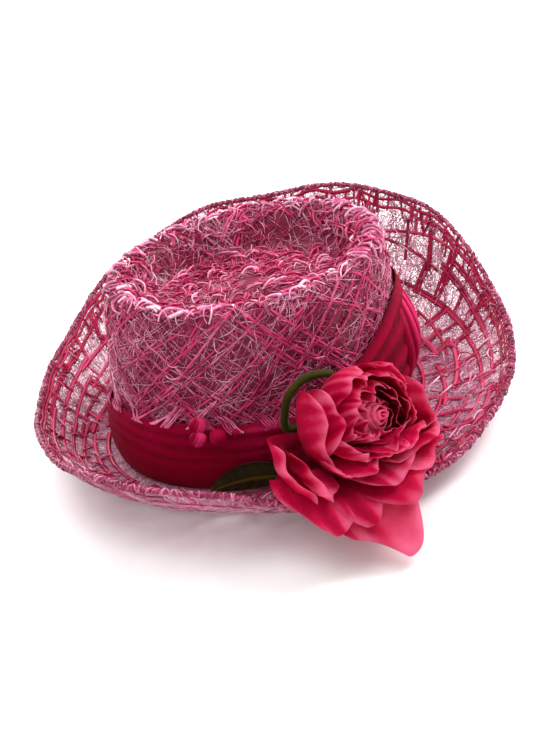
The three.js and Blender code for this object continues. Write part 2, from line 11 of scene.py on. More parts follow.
import logging
import math
from dataclasses import dataclass, field
from enum import Enum
from typing import Callable, Iterable, Sequence

import bpy
import numpy as np
from mathutils import Matrix, Vector

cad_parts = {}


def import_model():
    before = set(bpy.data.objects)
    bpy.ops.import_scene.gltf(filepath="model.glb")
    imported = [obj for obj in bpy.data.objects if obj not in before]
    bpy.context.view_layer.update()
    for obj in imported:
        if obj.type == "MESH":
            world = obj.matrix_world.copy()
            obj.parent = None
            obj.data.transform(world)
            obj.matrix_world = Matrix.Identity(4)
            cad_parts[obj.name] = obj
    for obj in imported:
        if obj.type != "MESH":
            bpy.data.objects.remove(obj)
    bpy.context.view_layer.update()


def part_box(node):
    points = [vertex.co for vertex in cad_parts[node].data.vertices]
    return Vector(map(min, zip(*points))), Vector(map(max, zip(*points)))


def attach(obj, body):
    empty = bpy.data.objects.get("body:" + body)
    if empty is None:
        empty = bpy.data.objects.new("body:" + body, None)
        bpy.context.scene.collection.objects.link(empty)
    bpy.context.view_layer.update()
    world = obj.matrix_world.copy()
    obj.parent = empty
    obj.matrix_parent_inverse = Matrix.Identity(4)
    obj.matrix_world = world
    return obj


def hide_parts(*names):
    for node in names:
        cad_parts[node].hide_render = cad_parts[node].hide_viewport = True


Array = np.ndarray
Object = bpy.types.Object
Material = bpy.types.Material
Socket = bpy.types.NodeSocket
Pair = tuple[float, float]
LOG = logging.getLogger("hat")
MM = 0.001


class Slot(Enum):
    """The material slots."""

    STRAW = "straw"
    EDGE = "edge"
    CHIFFON = "chiffon"
    ORGANZA = "organza"
    STEM = "stem"
    LEAF = "leaf"


def ease(share: Array) -> Array:
    """Eases a share from 0 to 1 with level ends."""
    t = np.clip(share, 0.0, 1.0)
    return t * t * (3.0 - 2.0 * t)


def blend(a: Array | float, b: Array | float, share: Array | float) -> Array:
    """Mixes two values by a share."""
    return a + (b - a) * share


def unit(vectors: Array) -> Array:
    """Gives vectors the length 1."""
    return vectors / np.maximum(np.linalg.norm(vectors, axis=-1, keepdims=True), 1e-12)


def linear(code: str) -> tuple[float, float, float, float]:
    """Turns a hex colour into the linear colour that a shader takes."""
    parts = [int(code[i : i + 2], 16) / 255 for i in (0, 2, 4)]
    mixed = [c / 12.92 if c <= 0.04045 else ((c + 0.055) / 1.055) ** 2.4 for c in parts]
    return (mixed[0], mixed[1], mixed[2], 1.0)


def hermite(start: Array, end: Array, leaving: Array, arriving: Array, t: Array) -> Array:
    """Runs smoothly from start to end, with the slopes that it leaves and arrives with."""
    t2, t3 = t * t, t * t * t
    return (
        start * (2 * t3 - 3 * t2 + 1)
        + leaving * (t3 - 2 * t2 + t)
        + end * (3 * t2 - 2 * t3)
        + arriving * (t3 - t2)
    )


def grid(u: Array, v: Array) -> tuple[Array, Array]:
    """Two coordinates over a grid: u by its rows and v by its columns."""
    return tuple(np.meshgrid(u, v, indexing="ij"))


def ring(count: int, whole: float = 2 * np.pi) -> Array:
    """Angles spread evenly over a whole turn."""
    return np.linspace(0, whole, count, endpoint=False)


# Tables of the hat's form


@dataclass(frozen=True)
class RoundTable:
    """Values round the hat at plan angles, read smoothly and without a seam."""

    names: tuple[str, ...]
    rows: tuple[tuple[float, ...], ...]

    def read(self, column: str, degrees: Array) -> Array:
        """Reads a column.

        Args:
            column: the column's name.
            degrees: plan angles.

        Returns:
            The column's value at each angle.
        """
        table = np.array(self.rows, float)
        count = len(table)
        angle = np.concatenate([table[:, 0] - 360, table[:, 0], table[:, 0] + 360])
        value = np.tile(table[:, self.names.index(column)], 3)
        at = np.mod(np.asarray(degrees, float), 360.0)
        k = np.clip(np.searchsorted(angle, at, side="right") - 1, 1, 3 * count - 3)
        width = angle[k + 1] - angle[k]
        t = (at - angle[k]) / width
        leaving = (value[k + 1] - value[k - 1]) / (angle[k + 1] - angle[k - 1]) * width
        arriving = (value[k + 2] - value[k]) / (angle[k + 2] - angle[k]) * width
        return hermite(value[k], value[k + 1], leaving, arriving, t)


RIDGE = RoundTable(
    ("angle", "height", "bulge"),
    (
        (0, 0.012, -0.05),
        (40, 0.004, 0.16),
        (80, -0.022, -0.1),
        (125, -0.006, 0.12),
        (180, 0.01, 0.05),
        (230, -0.008, 0.12),
        (280, 0.006, -0.12),
        (325, -0.004, 0.1),
    ),
)

BRIM = RoundTable(
    ("angle", "lift", "reach", "turn", "curl"),
    (
        (0, 0.36, 1.02, 0.6, 0.4),
        (15, 0.29, 1.02, 0.62, 0.4),
        (30, 0.23, 1.04, 0.62, 0.4),
        (45, 0.16, 1.05, 0.6, 0.5),
        (60, 0.1, 1.02, 0.5, 0.6),
        (75, 0.1, 0.98, 0.4, 0.8),
        (90, 0.19, 0.96, 0.32, 1.1),
        (105, 0.3, 0.96, 0.26, 1.3),
        (120, 0.38, 0.95, 0.24, 1.3),
        (135, 0.39, 0.94, 0.24, 1.1),
        (150, 0.37, 0.92, 0.28, 0.9),
        (165, 0.34, 0.9, 0.34, 0.7),
        (180, 0.32, 0.9, 0.42, 0.5),
        (195, 0.32, 0.92, 0.48, 0.4),
        (210, 0.39, 0.95, 0.5, 0.3),
        (225, 0.54, 0.97, 0.5, 0.3),
        (240, 0.7, 0.98, 0.5, 0.3),
        (255, 0.83, 0.99, 0.5, 0.3),
        (270, 0.91, 0.99, 0.5, 0.3),
        (285, 0.95, 0.99, 0.5, 0.25),
        (300, 0.96, 1.01, 0.5, 0.25),
        (315, 0.94, 1.04, 0.5, 0.25),
        (330, 0.81, 1.07, 0.52, 0.3),
        (345, 0.56, 1.06, 0.56, 0.35),
    ),
)

BAND = RoundTable(
    ("angle", "top", "full"),
    (
        (0, 0.97, 1.1),
        (22, 1, 1.3),
        (43, 0.86, 1.1),
        (60, 0.7, 0.9),
        (75, 0.57, 0.8),
        (95, 0.54, 0.9),
        (120, 0.59, 1),
        (155, 0.57, 1.1),
        (190, 0.51, 1),
        (230, 0.48, 0.8),
        (270, 0.5, 0.8),
        (310, 0.64, 0.9),
        (340, 0.86, 1),
    ),
)

# The crown's section: rise, taper, inward, sink and the way to the middle.
CROWN_SECTIONS = np.array(
    [
        (0, 0, 0, 0, 0),
        (0.16, 0.05, 0, 0, 0),
        (0.34, 0.13, 0, 0, 0),
        (0.52, 0.24, 0, 0, 0),
        (0.69, 0.37, 0, 0, 0),
        (0.83, 0.51, 0, 0, 0),
        (0.92, 0.66, 0, 0, 0),
        (0.975, 0.82, 0, 0, 0),
        (1, 1, 0.05, 0, 0),
        (1, 1, 0.5, 0.05, 0),
        (1, 1, 0.9, 0.24, 0),
        (1, 1, 1.2, 0.52, 0),
        (1, 1, 1.55, 0.8, 0),
        (1, 1, 2.15, 0.96, 0),
        (1, 1, 2.15, 1, 0.24),
        (1, 1, 2.15, 0.94, 0.5),
        (1, 1, 2.15, 0.86, 0.75),
        (1, 1, 2.15, 0.82, 1),
    ]
)

# The petals: turn, span, lip, reach and point, as in the part's source.
PETALS = (
    (20, 200, 152, 0.38, 0),
    (200, 200, 146, 0.475, 0),
    (325, 156, 140, 0.58, 0.02),
    (90, 150, 134, 0.68, 0.03),
    (232, 146, 128, 0.78, 0.03),
    (122, 108, 118, 0.94, 0.05),
    (285, 110, 114, 1, 0.04),
    (163, 108, 108, 1.14, 0.06),
    (258, 74, 102, 1.3, 0.06),
    (242, 62, 99, 1.64, 0.08),
    (206, 56, 98, 2, 0.3),
)

# Smaller ruffles between the petals: the layer they lie in, then the same columns.
RUFFLES = (
    (0.5, 120, 130, 150, 0.36, 0),
    (0.5, 300, 120, 150, 0.4, 0),
    (1.2, 95, 110, 146, 0.46, 0),
    (1.4, 20, 110, 144, 0.5, 0.02),
    (1.6, 250, 90, 142, 0.52, 0.02),
    (1.9, 80, 100, 141, 0.54, 0.02),
    (2.2, 112, 90, 139, 0.58, 0.02),
    (2.4, 160, 120, 137, 0.6, 0.02),
    (2.5, 30, 80, 137, 0.66, 0.03),
    (2.8, 90, 90, 136, 0.66, 0.03),
    (3.3, 345, 90, 133, 0.74, 0.04),
    (3.5, 60, 80, 131, 0.76, 0.04),
    (3.7, 200, 70, 128, 0.8, 0.04),
    (4.4, 165, 90, 124, 0.86, 0.05),
    (4.6, 300, 80, 124, 0.88, 0.04),
    (5.5, 240, 90, 116, 0.98, 0.05),
    (6.5, 140, 80, 112, 1.04, 0.06),
    (7.5, 200, 90, 106, 1.2, 0.08),
    (8.5, 170, 80, 104, 1.34, 0.1),
    (8.6, 272, 60, 101, 1.4, 0.08),
    (9.5, 226, 70, 99, 1.5, 0.12),
    (9.6, 190, 60, 99, 1.66, 0.16),
)

# The stem's centre line from its free end to the rose's root.
STEM_LINE = (
    (-82, -40, 68),
    (-86, -31, 73),
    (-88, -20, 73),
    (-90, -11, 67),
    (-92, -6, 57),
    (-93, -5, 46),
)


@dataclass(frozen=True)
class Skin:
    """A surface over two coordinates: u along a rib or a section, v round the hat in degrees."""

    place: Callable[[Array, Array], Array]
    low: float
    high: float
    step: Pair = (0.02, 0.5)
    outward: float = 1.0

    def frame(self, u: Array, v: Array) -> tuple[Array, Array, Array, Array]:
        """Reads the surface and its directions.

        Args:
            u: first coordinates.
            v: second coordinates.

        Returns:
            The points, the steps along u and v, and the unit normals.
        """
        du, dv = self.step
        along = (self.place(u + du, v) - self.place(u - du, v)) / (2 * du)
        across = (self.place(u, v + dv) - self.place(u, v - dv)) / (2 * dv)
        normal = unit(np.cross(along, across)) * self.outward
        return self.place(u, v), along, across, normal

    def raised(self, u: Array, v: Array, out: Array | float) -> Array:
        """The points of the surface, moved out along its normal by a distance in metres."""
        point, _, _, normal = self.frame(u, v)
        return point + normal * np.asarray(out)[..., None]


@dataclass(frozen=True)
class HatForm:
    """The hat's main forms in millimetres, as the solids have them. shift moves them to the row."""

    shift: tuple[float, float, float]
    head_long: float = 195.6
    head_wide: float = 160.0
    wall: float = 2.0
    clearance: float = 0.3
    crown_height: float = 117.5
    crown_taper: float = 14.4
    crown_forward: float = 9.3
    ridge_width: float = 13.0
    tip_depth: float = 22.0
    brim_front: float = 74.0
    brim_back: float = 57.0
    brim_side: float = 70.0
    brim_seat: float = 14.0
    seat_share: float = 0.2
    brim_lift: float = 91.0
    brim_curl: float = 12.0
    brim_ruffle: float = 1.5
    ruffle_count: float = 11.0
    edge_radius: float = 2.3
    band_wall: float = 2.2
    band_height: float = 86.0
    band_full: float = 3.6
    band_ease: float = 0.5
    rose_angle: float = 71.0
    rose_out: float = 38.0
    rose_height: float = 54.0
    rose_turn: float = 50.0
    rose_tilt: float = 30.0
    rose_radius: float = 46.0
    rose_root: float = 16.0
    petal_pitch: float = 2.0
    petal_root: float = 0.05
    petal_give: float = 0.3
    soft_layers: float = 8.0
    drape_step: float = 5.3

    @property
    def crown_foot(self) -> float:
        """The height of the crown's base."""
        return self.wall + self.clearance

    def in_row(self, points: Array) -> Array:
        """Points in millimetres from the hat's middle, in metres in the row frame."""
        return (points + np.array(self.shift)) * MM

    @staticmethod
    def oval(half_long: Array, half_wide: Array, degrees: Array, height: Array) -> Array:
        """Points on an oval at plan angles and heights."""
        angle = np.radians(degrees)
        x = -half_wide * np.sin(angle)
        y = -half_long * np.cos(angle)
        x, y, z = np.broadcast_arrays(x, y, height)
        return np.stack([x, y, z], axis=-1)

    @staticmethod
    def section(place: Array) -> Array:
        """The crown's section at a place between its rows, smoothly."""
        last = len(CROWN_SECTIONS) - 1
        at = np.clip(place, 0, last)
        low = np.clip(np.floor(at).astype(int), 0, last - 1)
        t = (at - low)[..., None]
        rows = [CROWN_SECTIONS[np.clip(low + k, 0, last)] for k in (-1, 0, 1, 2)]
        leaving = (rows[2] - rows[0]) / 2
        arriving = (rows[3] - rows[1]) / 2
        return hermite(rows[1], rows[2], leaving, arriving, t)

    def crown(self, place: Array, degrees: Array) -> Array:
        """The crown's outer skin, in millimetres."""
        place, degrees = np.broadcast_arrays(np.asarray(place, float), np.asarray(degrees, float))
        rise, taper, inward, sink, centre = np.moveaxis(self.section(place), -1, 0)
        ridge = RIDGE.read("bulge", degrees) * self.ridge_width * taper
        inset = taper * self.crown_taper + inward * self.ridge_width - ridge
        still = 1 - centre
        half_long = (self.head_long / 2 + self.wall - inset) * still
        half_wide = (self.head_wide / 2 + self.wall - inset) * still
        swell = RIDGE.read("height", degrees) * self.crown_height * rise**2 * still
        height = self.crown_foot + rise * self.crown_height - sink * self.tip_depth + swell
        point = self.oval(half_long, half_wide, degrees, height)
        point[..., 1] -= self.crown_forward * rise
        return point

    def wall_place(self, height: Array) -> Array:
        """The place in the crown's section at a height of its wall."""
        rise = (np.asarray(height, float) - self.crown_foot) / self.crown_height
        return np.interp(rise, CROWN_SECTIONS[:9, 0], np.arange(9))

    def off_crown(self, height: Array, degrees: Array, distance: Array) -> Array:
        """Points out from the crown's wall, level, by a distance."""
        place = self.wall_place(height)
        along = self.crown(place, degrees + 1) - self.crown(place, degrees - 1)
        outward = np.stack([-along[..., 1], along[..., 0], np.zeros(along.shape[:-1])], axis=-1)
        point = self.crown(place, degrees)
        point[..., 2] = height
        return point + unit(outward) * np.asarray(distance)[..., None]

    def brim(self, turned: Array, degrees: Array) -> Array:
        """The brim's underside, in millimetres.

        Args:
            turned: 0 where the brim leaves its flat seat, 1 at its edge, and less than 0 on the
                seat, down to the head opening at minus seat_share.
            degrees: plan angles.

        Returns:
            The points.
        """
        turned, degrees = np.broadcast_arrays(np.asarray(turned, float), np.asarray(degrees, float))
        reach, turn = BRIM.read("reach", degrees), BRIM.read("turn", degrees)
        lift = BRIM.read("lift", degrees) * self.brim_lift
        t = np.maximum(turned, 0)
        curl = BRIM.read("curl", degrees) * self.brim_curl * t**6
        ripple = self.brim_ruffle * t**3 * np.sin(np.radians(degrees * self.ruffle_count))
        out = 2 * t * (1 - t) * turn + t * t
        inner = self.brim_seat * (1 + np.minimum(turned, 0) / self.seat_share)
        front = np.cos(np.radians(degrees)) > 0
        width = np.where(front, self.brim_front, self.brim_back)
        half_long = self.head_long / 2 + inner + (width * reach - self.brim_seat) * out
        half_wide = self.head_wide / 2 + inner + (self.brim_side * reach - self.brim_seat) * out
        return self.oval(half_long, half_wide, degrees, t * t * lift + curl + ripple)

    def crown_skin(self) -> Skin:
        """The crown's outer face in the row frame."""
        return Skin(lambda u, v: self.in_row(self.crown(u, v)), 0.0, 17.0)

    def brim_skin(self) -> Skin:
        """The brim's upper face in the row frame."""
        lower = Skin(self.brim, -self.seat_share, 1.0, (0.01, 0.5), -1.0)

        def upper(u: Array, v: Array) -> Array:
            """A place of the upper face."""
            return self.in_row(lower.raised(u, v, self.wall))

        return Skin(upper, -self.seat_share, 1.0, (0.01, 0.5), -1.0)

    def rim(self, degrees: Array) -> tuple[Array, Array]:
        """The middle of the brim's edge and the direction out of it, in millimetres."""
        lower = Skin(self.brim, 0, 1, (0.01, 0.5), -1.0)
        one = np.ones_like(degrees)
        middle = lower.raised(one * 0.999, degrees, self.wall / 2)
        outward = unit(self.brim(one, degrees) - self.brim(one * 0.97, degrees))
        return middle, outward

    def rest_height(self, x: Array, y: Array) -> Array:
        """How high the brim, its edge or the floor stands under plan places, in millimetres."""
        degrees = np.degrees(
            np.arctan2(-x / (self.head_wide + self.brim_side), -y / (self.head_long + self.brim_front))
        )
        distance = np.hypot(x, y)

        def reach(turned: Array) -> Array:
            """How far from the hat's middle a place of the brim is in plan."""
            point = self.brim(turned, degrees)
            return np.hypot(point[..., 0], point[..., 1])

        one = np.ones_like(distance)
        edge = reach(one)
        edge_size = 2 * self.edge_radius + self.clearance + self.wall
        edge_top = self.brim(one, degrees)[..., 2] + edge_size
        low, high = np.zeros_like(distance), one.copy()
        for _ in range(12):
            middle = (low + high) / 2
            nearer = reach(middle) < distance
            low = np.where(nearer, middle, low)
            high = np.where(nearer, high, middle)
        lower = Skin(self.brim, 0, 1, (0.01, 0.5), -1.0)
        top = lower.raised(np.clip(low, 0.01, 0.99), degrees, self.wall)[..., 2]
        inside = blend(top, edge_top, ease(low * 3 - 1.8))
        outside = blend(edge_top, 0, ease((distance - edge - edge_size) / (2.2 * edge_top)))
        return np.where(distance > edge, outside, inside)

    def band_top(self, degrees: Array) -> Array:
        """The height of the band's top edge, in millimetres."""
        return BAND.read("top", degrees) * self.band_height

    def rose_axes(self) -> tuple[Array, Array, Array, Array]:
        """The rose's middle, and the directions it looks, to its side and to its top."""
        turn, tilt = math.radians(self.rose_turn), math.radians(self.rose_tilt)
        look = np.array([-math.sin(turn), -math.cos(turn), 0]) * math.cos(tilt)
        look[2] = math.sin(tilt)
        side = unit(np.cross([0, 0, 1.0], look))
        up = np.cross(look, side)
        out = self.rose_out + self.band_wall + self.band_full
        middle = self.off_crown(np.array(self.rose_height), np.array(self.rose_angle), np.array(out))
        return middle, look, side, up

    def rose_point(self, distance: Array, from_root: Array, turn: Array) -> Array:
        """Points round the rose's middle, in millimetres. from_root and turn are degrees."""
        middle, look, side, up = self.rose_axes()
        polar, around = np.radians(from_root), np.radians(turn)
        ahead = (-distance * np.cos(polar))[..., None] * look
        upward = (distance * np.sin(polar) * np.cos(around))[..., None] * up
        sideways = (distance * np.sin(polar) * np.sin(around))[..., None] * side
        return middle + ahead + upward + sideways

    def petal(self, row: Sequence[float], layer: float, along: Array, sideways: Array) -> Array:
        """A petal's skin in millimetres.

        Args:
            row: the petal's turn, span, lip, reach and point.
            layer: which layer it lies in, from the heart outwards.
            along: from 0, at the root, to 1, at the lip.
            sideways: from -1 to 1, across.

        Returns:
            The points.
        """
        turn, span, lip, reach, point = row
        root = self.rose_root + layer * self.petal_pitch
        under = len(PETALS) - layer
        lift = self.drape_step * (min(under, 4) - 0.5 + 0.6 * min(max(under - 4, 0), 4))
        give = self.petal_give * max(1 - layer / self.soft_layers, 0)
        s = blend(self.petal_root, 1, along)
        width = blend(200.0, span, ease(s * 4)) * (1 - 0.35 * s**3)
        around = turn + sideways * width / 2
        from_root = lip * s * (1 - 0.12 * s * sideways**4)
        opened = ease(s) * (1 - 0.05 * s * sideways**2)
        tip = point * self.rose_radius * s**4 * (1 - np.abs(sideways)) ** 2
        flute = 0.15 * self.petal_pitch * s**2 * np.cos(3 * np.pi * sideways + layer)
        distance = blend(root, reach * self.rose_radius, opened) + tip + flute
        place = self.rose_point(distance, from_root, around)
        ground = self.rest_height(place[..., 0], place[..., 1]) + lift + 1.1
        gap = place[..., 2] - ground
        place[..., 2] = ground + np.where(gap > 0, gap, gap * give)
        return place


# Making meshes


def added(name: str, data: bpy.types.ID) -> Object:
    """Makes an object of a mesh, a camera or a lamp, and puts it in the scene."""
    obj = bpy.data.objects.new(name, data)
    bpy.context.scene.collection.objects.link(obj)
    return obj


def vertex_mesh(name: str, points: Array) -> bpy.types.Mesh:
    """Makes a mesh of vertices alone."""
    mesh = bpy.data.meshes.new(name)
    mesh.vertices.add(len(points))
    mesh.vertices.foreach_set("co", points.astype(np.float32).ravel())
    return mesh


def grid_mesh(name: str, points: Array, closed: bool = False) -> Object:
    """Makes an object from a grid of points.

    Args:
        name: the object's name.
        points: rows by columns by 3, in metres.
        closed: whether the last column joins the first.

    Returns:
        The object, with a UV map along its rows and columns.
    """
    rows, columns = points.shape[:2]
    wide = columns if closed else columns - 1
    i, j = grid(np.arange(rows - 1), np.arange(wide))
    k = (j + 1) % columns
    quads = np.stack([i * columns + j, i * columns + k, (i + 1) * columns + k, (i + 1) * columns + j], -1)
    mesh = bpy.data.meshes.new(name)
    mesh.from_pydata(points.reshape(-1, 3).tolist(), [], quads.reshape(-1, 4).tolist())
    uv = mesh.uv_layers.new(name="UVMap")
    corner_u = np.stack([i, i, i + 1, i + 1], -1) / (rows - 1)
    corner_v = np.stack([j, j + 1, j + 1, j], -1) / wide
    uv.data.foreach_set("uv", np.stack([corner_v, corner_u], -1).astype(np.float32).ravel())
    mesh.polygons.foreach_set("use_smooth", [True] * len(mesh.polygons))
    mesh.update()
    return added(name, mesh)


def store(obj: Object, name: str, values: Array) -> None:
    """Keeps a number for each vertex as an attribute that a finish reads."""
    attribute = obj.data.attributes.new(name, "FLOAT", "POINT")
    attribute.data.foreach_set("value", np.asarray(values, np.float32).ravel())


def store_ways(obj: Object, name: str, values: Array) -> None:
    """Keeps a direction for each vertex as an attribute that a node tree reads."""
    attribute = obj.data.attributes.new(name, "FLOAT_VECTOR", "POINT")
    attribute.data.foreach_set("vector", np.asarray(values, np.float32).ravel())


def thicken(obj: Object, wall: float) -> Object:
    """Gives a sheet its thickness, half to each side, applied to the mesh."""
    solid = obj.modifiers.new("wall", "SOLIDIFY")
    solid.thickness = wall
    solid.offset = 0.0
    bake(obj)
    return obj


def bake(obj: Object) -> None:
    """Applies an object's modifiers by swapping its mesh for the evaluated one."""
    graph = bpy.context.evaluated_depsgraph_get()
    graph.update()
    result = bpy.data.meshes.new_from_object(
        obj.evaluated_get(graph), preserve_all_data_layers=True, depsgraph=graph
    )
    obj.modifiers.clear()
    old = obj.data
    obj.data = result
    result.name = obj.name
    if old.users == 0:
        bpy.data.meshes.remove(old)


def seat(
    obj: Object, finish: Material | None, nodes: Iterable[str] = ()
) -> Object:
    """Gives a piece its finish, its body and the solids that it stands for."""
    if finish is not None:
        obj.data.materials.clear()
        obj.data.materials.append(finish)
    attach(obj, "root")
    names = list(nodes)
    if names:
        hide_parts(*names)
    triangles = sum(len(p.vertices) - 2 for p in obj.data.polygons)
    LOG.info("%s: %d triangles", obj.name, triangles)
    return obj


def cut(obj: Object, length: float) -> Pair:
    """The width and length of the flat cloth that a thin closed sheet was made from."""
    area = sum(polygon.area for polygon in obj.data.polygons) / 2
    return (area / length, length)


@dataclass
class Strands:
    """Lines of raffia or filament, with a lay, a radius share and a tone at each point."""

    points: list[Array] = field(default_factory=list)
    lays: list[Array] = field(default_factory=list)
    radii: list[Array] = field(default_factory=list)
    tones: list[Array] = field(default_factory=list)

    def add(self, line: Array, lay: Array, radius: Array | float, tone: float) -> None:
        """Adds one line."""
        if len(line) < 2:
            return
        self.points.append(line)
        self.lays.append(lay)
        self.radii.append(np.broadcast_to(radius, len(line)))
        self.tones.append(np.full(len(line), tone))

    def extend(self, lines: Array, lays: Array, radius: Array, tones: Array, alive: Array) -> None:
        """Adds many lines of the same number of points, each up to where it stops being alive."""
        for index in range(len(lines)):
            stop = int(np.argmin(alive[index])) if not alive[index].all() else lines.shape[1]
            self.add(lines[index, :stop], lays[index, :stop], radius[index, :stop], float(tones[index]))

    def to_object(self, name: str) -> Object:
        """Makes a mesh of edges with the lines' attributes."""
        counts = np.array([len(p) for p in self.points])
        starts = np.concatenate([[0], np.cumsum(counts)[:-1]])
        pairs = [
            np.stack([np.arange(s, s + c - 1), np.arange(s + 1, s + c)], -1)
            for s, c in zip(starts, counts)
        ]
        edges = np.concatenate(pairs)
        mesh = vertex_mesh(name, np.concatenate(self.points))
        mesh.edges.add(len(edges))
        mesh.edges.foreach_set("vertices", edges.astype(np.int32).ravel())
        obj = added(name, mesh)
        store_ways(obj, "lay", np.concatenate(self.lays))
        store(obj, "radius_share", np.concatenate(self.radii))
        store(obj, "tone", np.concatenate(self.tones))
        mesh.update()
        return obj


class Graph:
    """A tree of nodes, built node by node."""

    def __init__(self, tree: bpy.types.NodeTree) -> None:
        """Takes the tree to build in."""
        self.nodes = tree.nodes
        self.links = tree.links

    def fill(self, made: bpy.types.Node, inputs: dict[str | int, object]) -> None:
        """Sets a node's inputs. An input is a value, or a socket to link."""
        for key, value in inputs.items():
            if isinstance(value, Socket):
                self.links.new(value, made.inputs[key])
            else:
                made.inputs[key].default_value = value

    def node(
        self, kind: str, inputs: dict[str | int, object] | None = None, **settings: object
    ) -> bpy.types.Node:
        """Adds a node with its settings and its inputs."""
        made = self.nodes.new(kind)
        for key, value in settings.items():
            setattr(made, key, value)
        self.fill(made, inputs or {})
        return made

    def out(self, kind: str, inputs: dict[str | int, object], **settings: object) -> Socket:
        """Adds a node and gives its first output."""
        return self.node(kind, inputs, **settings).outputs[0]


class Tree(Graph):
    """A Geometry Nodes tree that makes a plain mesh."""

    def __init__(self, name: str, inputs: dict[str, str]) -> None:
        """Makes the tree.

        Args:
            name: the tree's name.
            inputs: the name and the kind of each input that a run sets.
        """
        self.group = bpy.data.node_groups.new(name, "GeometryNodeTree")
        super().__init__(self.group)
        face = self.group.interface
        face.new_socket("Geometry", in_out="OUTPUT", socket_type="NodeSocketGeometry")
        for label, kind in {"Geometry": "Geometry", **inputs}.items():
            face.new_socket(label, in_out="INPUT", socket_type=f"NodeSocket{kind}")
        self.entry = self.nodes.new("NodeGroupInput")
        self.exit = self.nodes.new("NodeGroupOutput")

    def read(self, attribute: str, kind: str = "FLOAT") -> Socket:
        """The value of a named attribute."""
        return self.out("GeometryNodeInputNamedAttribute", {"Name": attribute}, data_type=kind)

    def profile(self, sides: Socket | int) -> Socket:
        """The outline of a strand, as thick and as wide as the tree's inputs say."""
        sockets = self.entry.outputs
        outline = self.out("GeometryNodeCurvePrimitiveCircle", {"Resolution": sides, "Radius": 0.5})
        size = self.out(
            "ShaderNodeCombineXYZ", {"X": sockets["Thickness"], "Y": sockets["Width"], "Z": 1.0}
        )
        return self.out("GeometryNodeTransform", {"Geometry": outline, "Scale": size})

    def finish(self, geometry: Socket) -> None:
        """Ends the tree: smooth, realised and with its material."""
        smooth = self.out("GeometryNodeSetShadeSmooth", {"Geometry": geometry})
        real = self.out("GeometryNodeRealizeInstances", {"Geometry": smooth})
        material = self.entry.outputs["Material"]
        painted = self.out("GeometryNodeSetMaterial", {"Geometry": real, "Material": material})
        self.links.new(painted, self.exit.inputs[0])

    def run(self, obj: Object, values: dict[str, object]) -> Object:
        """Puts the tree on an object with its inputs set, and turns the result into a plain mesh."""
        modifier = obj.modifiers.new(self.group.name, "NODES")
        modifier.node_group = self.group
        for item in self.group.interface.items_tree:
            if item.item_type == "SOCKET" and item.in_out == "INPUT" and item.name in values:
                modifier[item.identifier] = values[item.name]
        bake(obj)
        return obj


def strand_tree() -> Tree:
    """The tree that gives laid lines their flat or round strand."""
    tree = Tree(
        "laid strands",
        {"Width": "Float", "Thickness": "Float", "Sides": "Int", "Material": "Material"},
    )
    sockets = tree.entry.outputs
    line = tree.out("GeometryNodeMeshToCurve", {"Mesh": sockets["Geometry"]})
    laid = tree.out(
        "GeometryNodeSetCurveNormal",
        {"Curve": line, "Normal": tree.read("lay", "FLOAT_VECTOR")},
        mode="FREE",
    )
    tube = tree.out(
        "GeometryNodeCurveToMesh",
        {
            "Curve": laid,
            "Profile Curve": tree.profile(sockets["Sides"]),
            "Scale": tree.read("radius_share"),
            "Fill Caps": True,
        },
    )
    tree.finish(tube)
    return tree


def loop_tree() -> Tree:
    """The tree that stands small loops of strand on points, turned and sized at random."""
    tree = Tree(
        "standing loops",
        {
            "Length": "Float",
            "Rise": "Float",
            "Width": "Float",
            "Thickness": "Float",
            "Steps": "Int",
            "Seed": "Int",
            "Material": "Material",
        },
    )
    sockets = tree.entry.outputs

    def scaled(name: str, factor: float) -> Socket:
        """An input times a factor."""
        return tree.out("ShaderNodeMath", {0: sockets[name], 1: factor}, operation="MULTIPLY")

    start = tree.out("ShaderNodeCombineXYZ", {"X": scaled("Length", -0.5)})
    middle = tree.out("ShaderNodeCombineXYZ", {"Y": scaled("Length", 0.25), "Z": scaled("Rise", 2.0)})
    end = tree.out("ShaderNodeCombineXYZ", {"X": scaled("Length", 0.5)})
    arc = tree.out(
        "GeometryNodeCurveQuadraticBezier",
        {"Resolution": sockets["Steps"], "Start": start, "Middle": middle, "End": end},
    )
    loop = tree.out(
        "GeometryNodeCurveToMesh",
        {"Curve": arc, "Profile Curve": tree.profile(4), "Fill Caps": True},
    )
    lay = tree.read("lay", "FLOAT_VECTOR")
    upright = tree.out("FunctionNodeAlignRotationToVector", {"Vector": lay}, axis="Z")
    random = tree.node(
        "FunctionNodeRandomValue",
        {2: 0.0, 3: 2 * math.pi, "Seed": sockets["Seed"]},
        data_type="FLOAT",
    )
    angle = random.outputs[1]
    spin = tree.out("FunctionNodeAxisAngleToRotation", {"Axis": (0, 0, 1), "Angle": angle})
    turned = tree.out(
        "FunctionNodeRotateRotation",
        {"Rotation": upright, "Rotate By": spin},
        rotation_space="LOCAL",
    )
    stand = tree.out(
        "GeometryNodeInstanceOnPoints",
        {
            "Points": sockets["Geometry"],
            "Instance": loop,
            "Rotation": turned,
            "Scale": tree.read("size"),
        },
    )
    tree.finish(stand)
    return tree


# Finishes


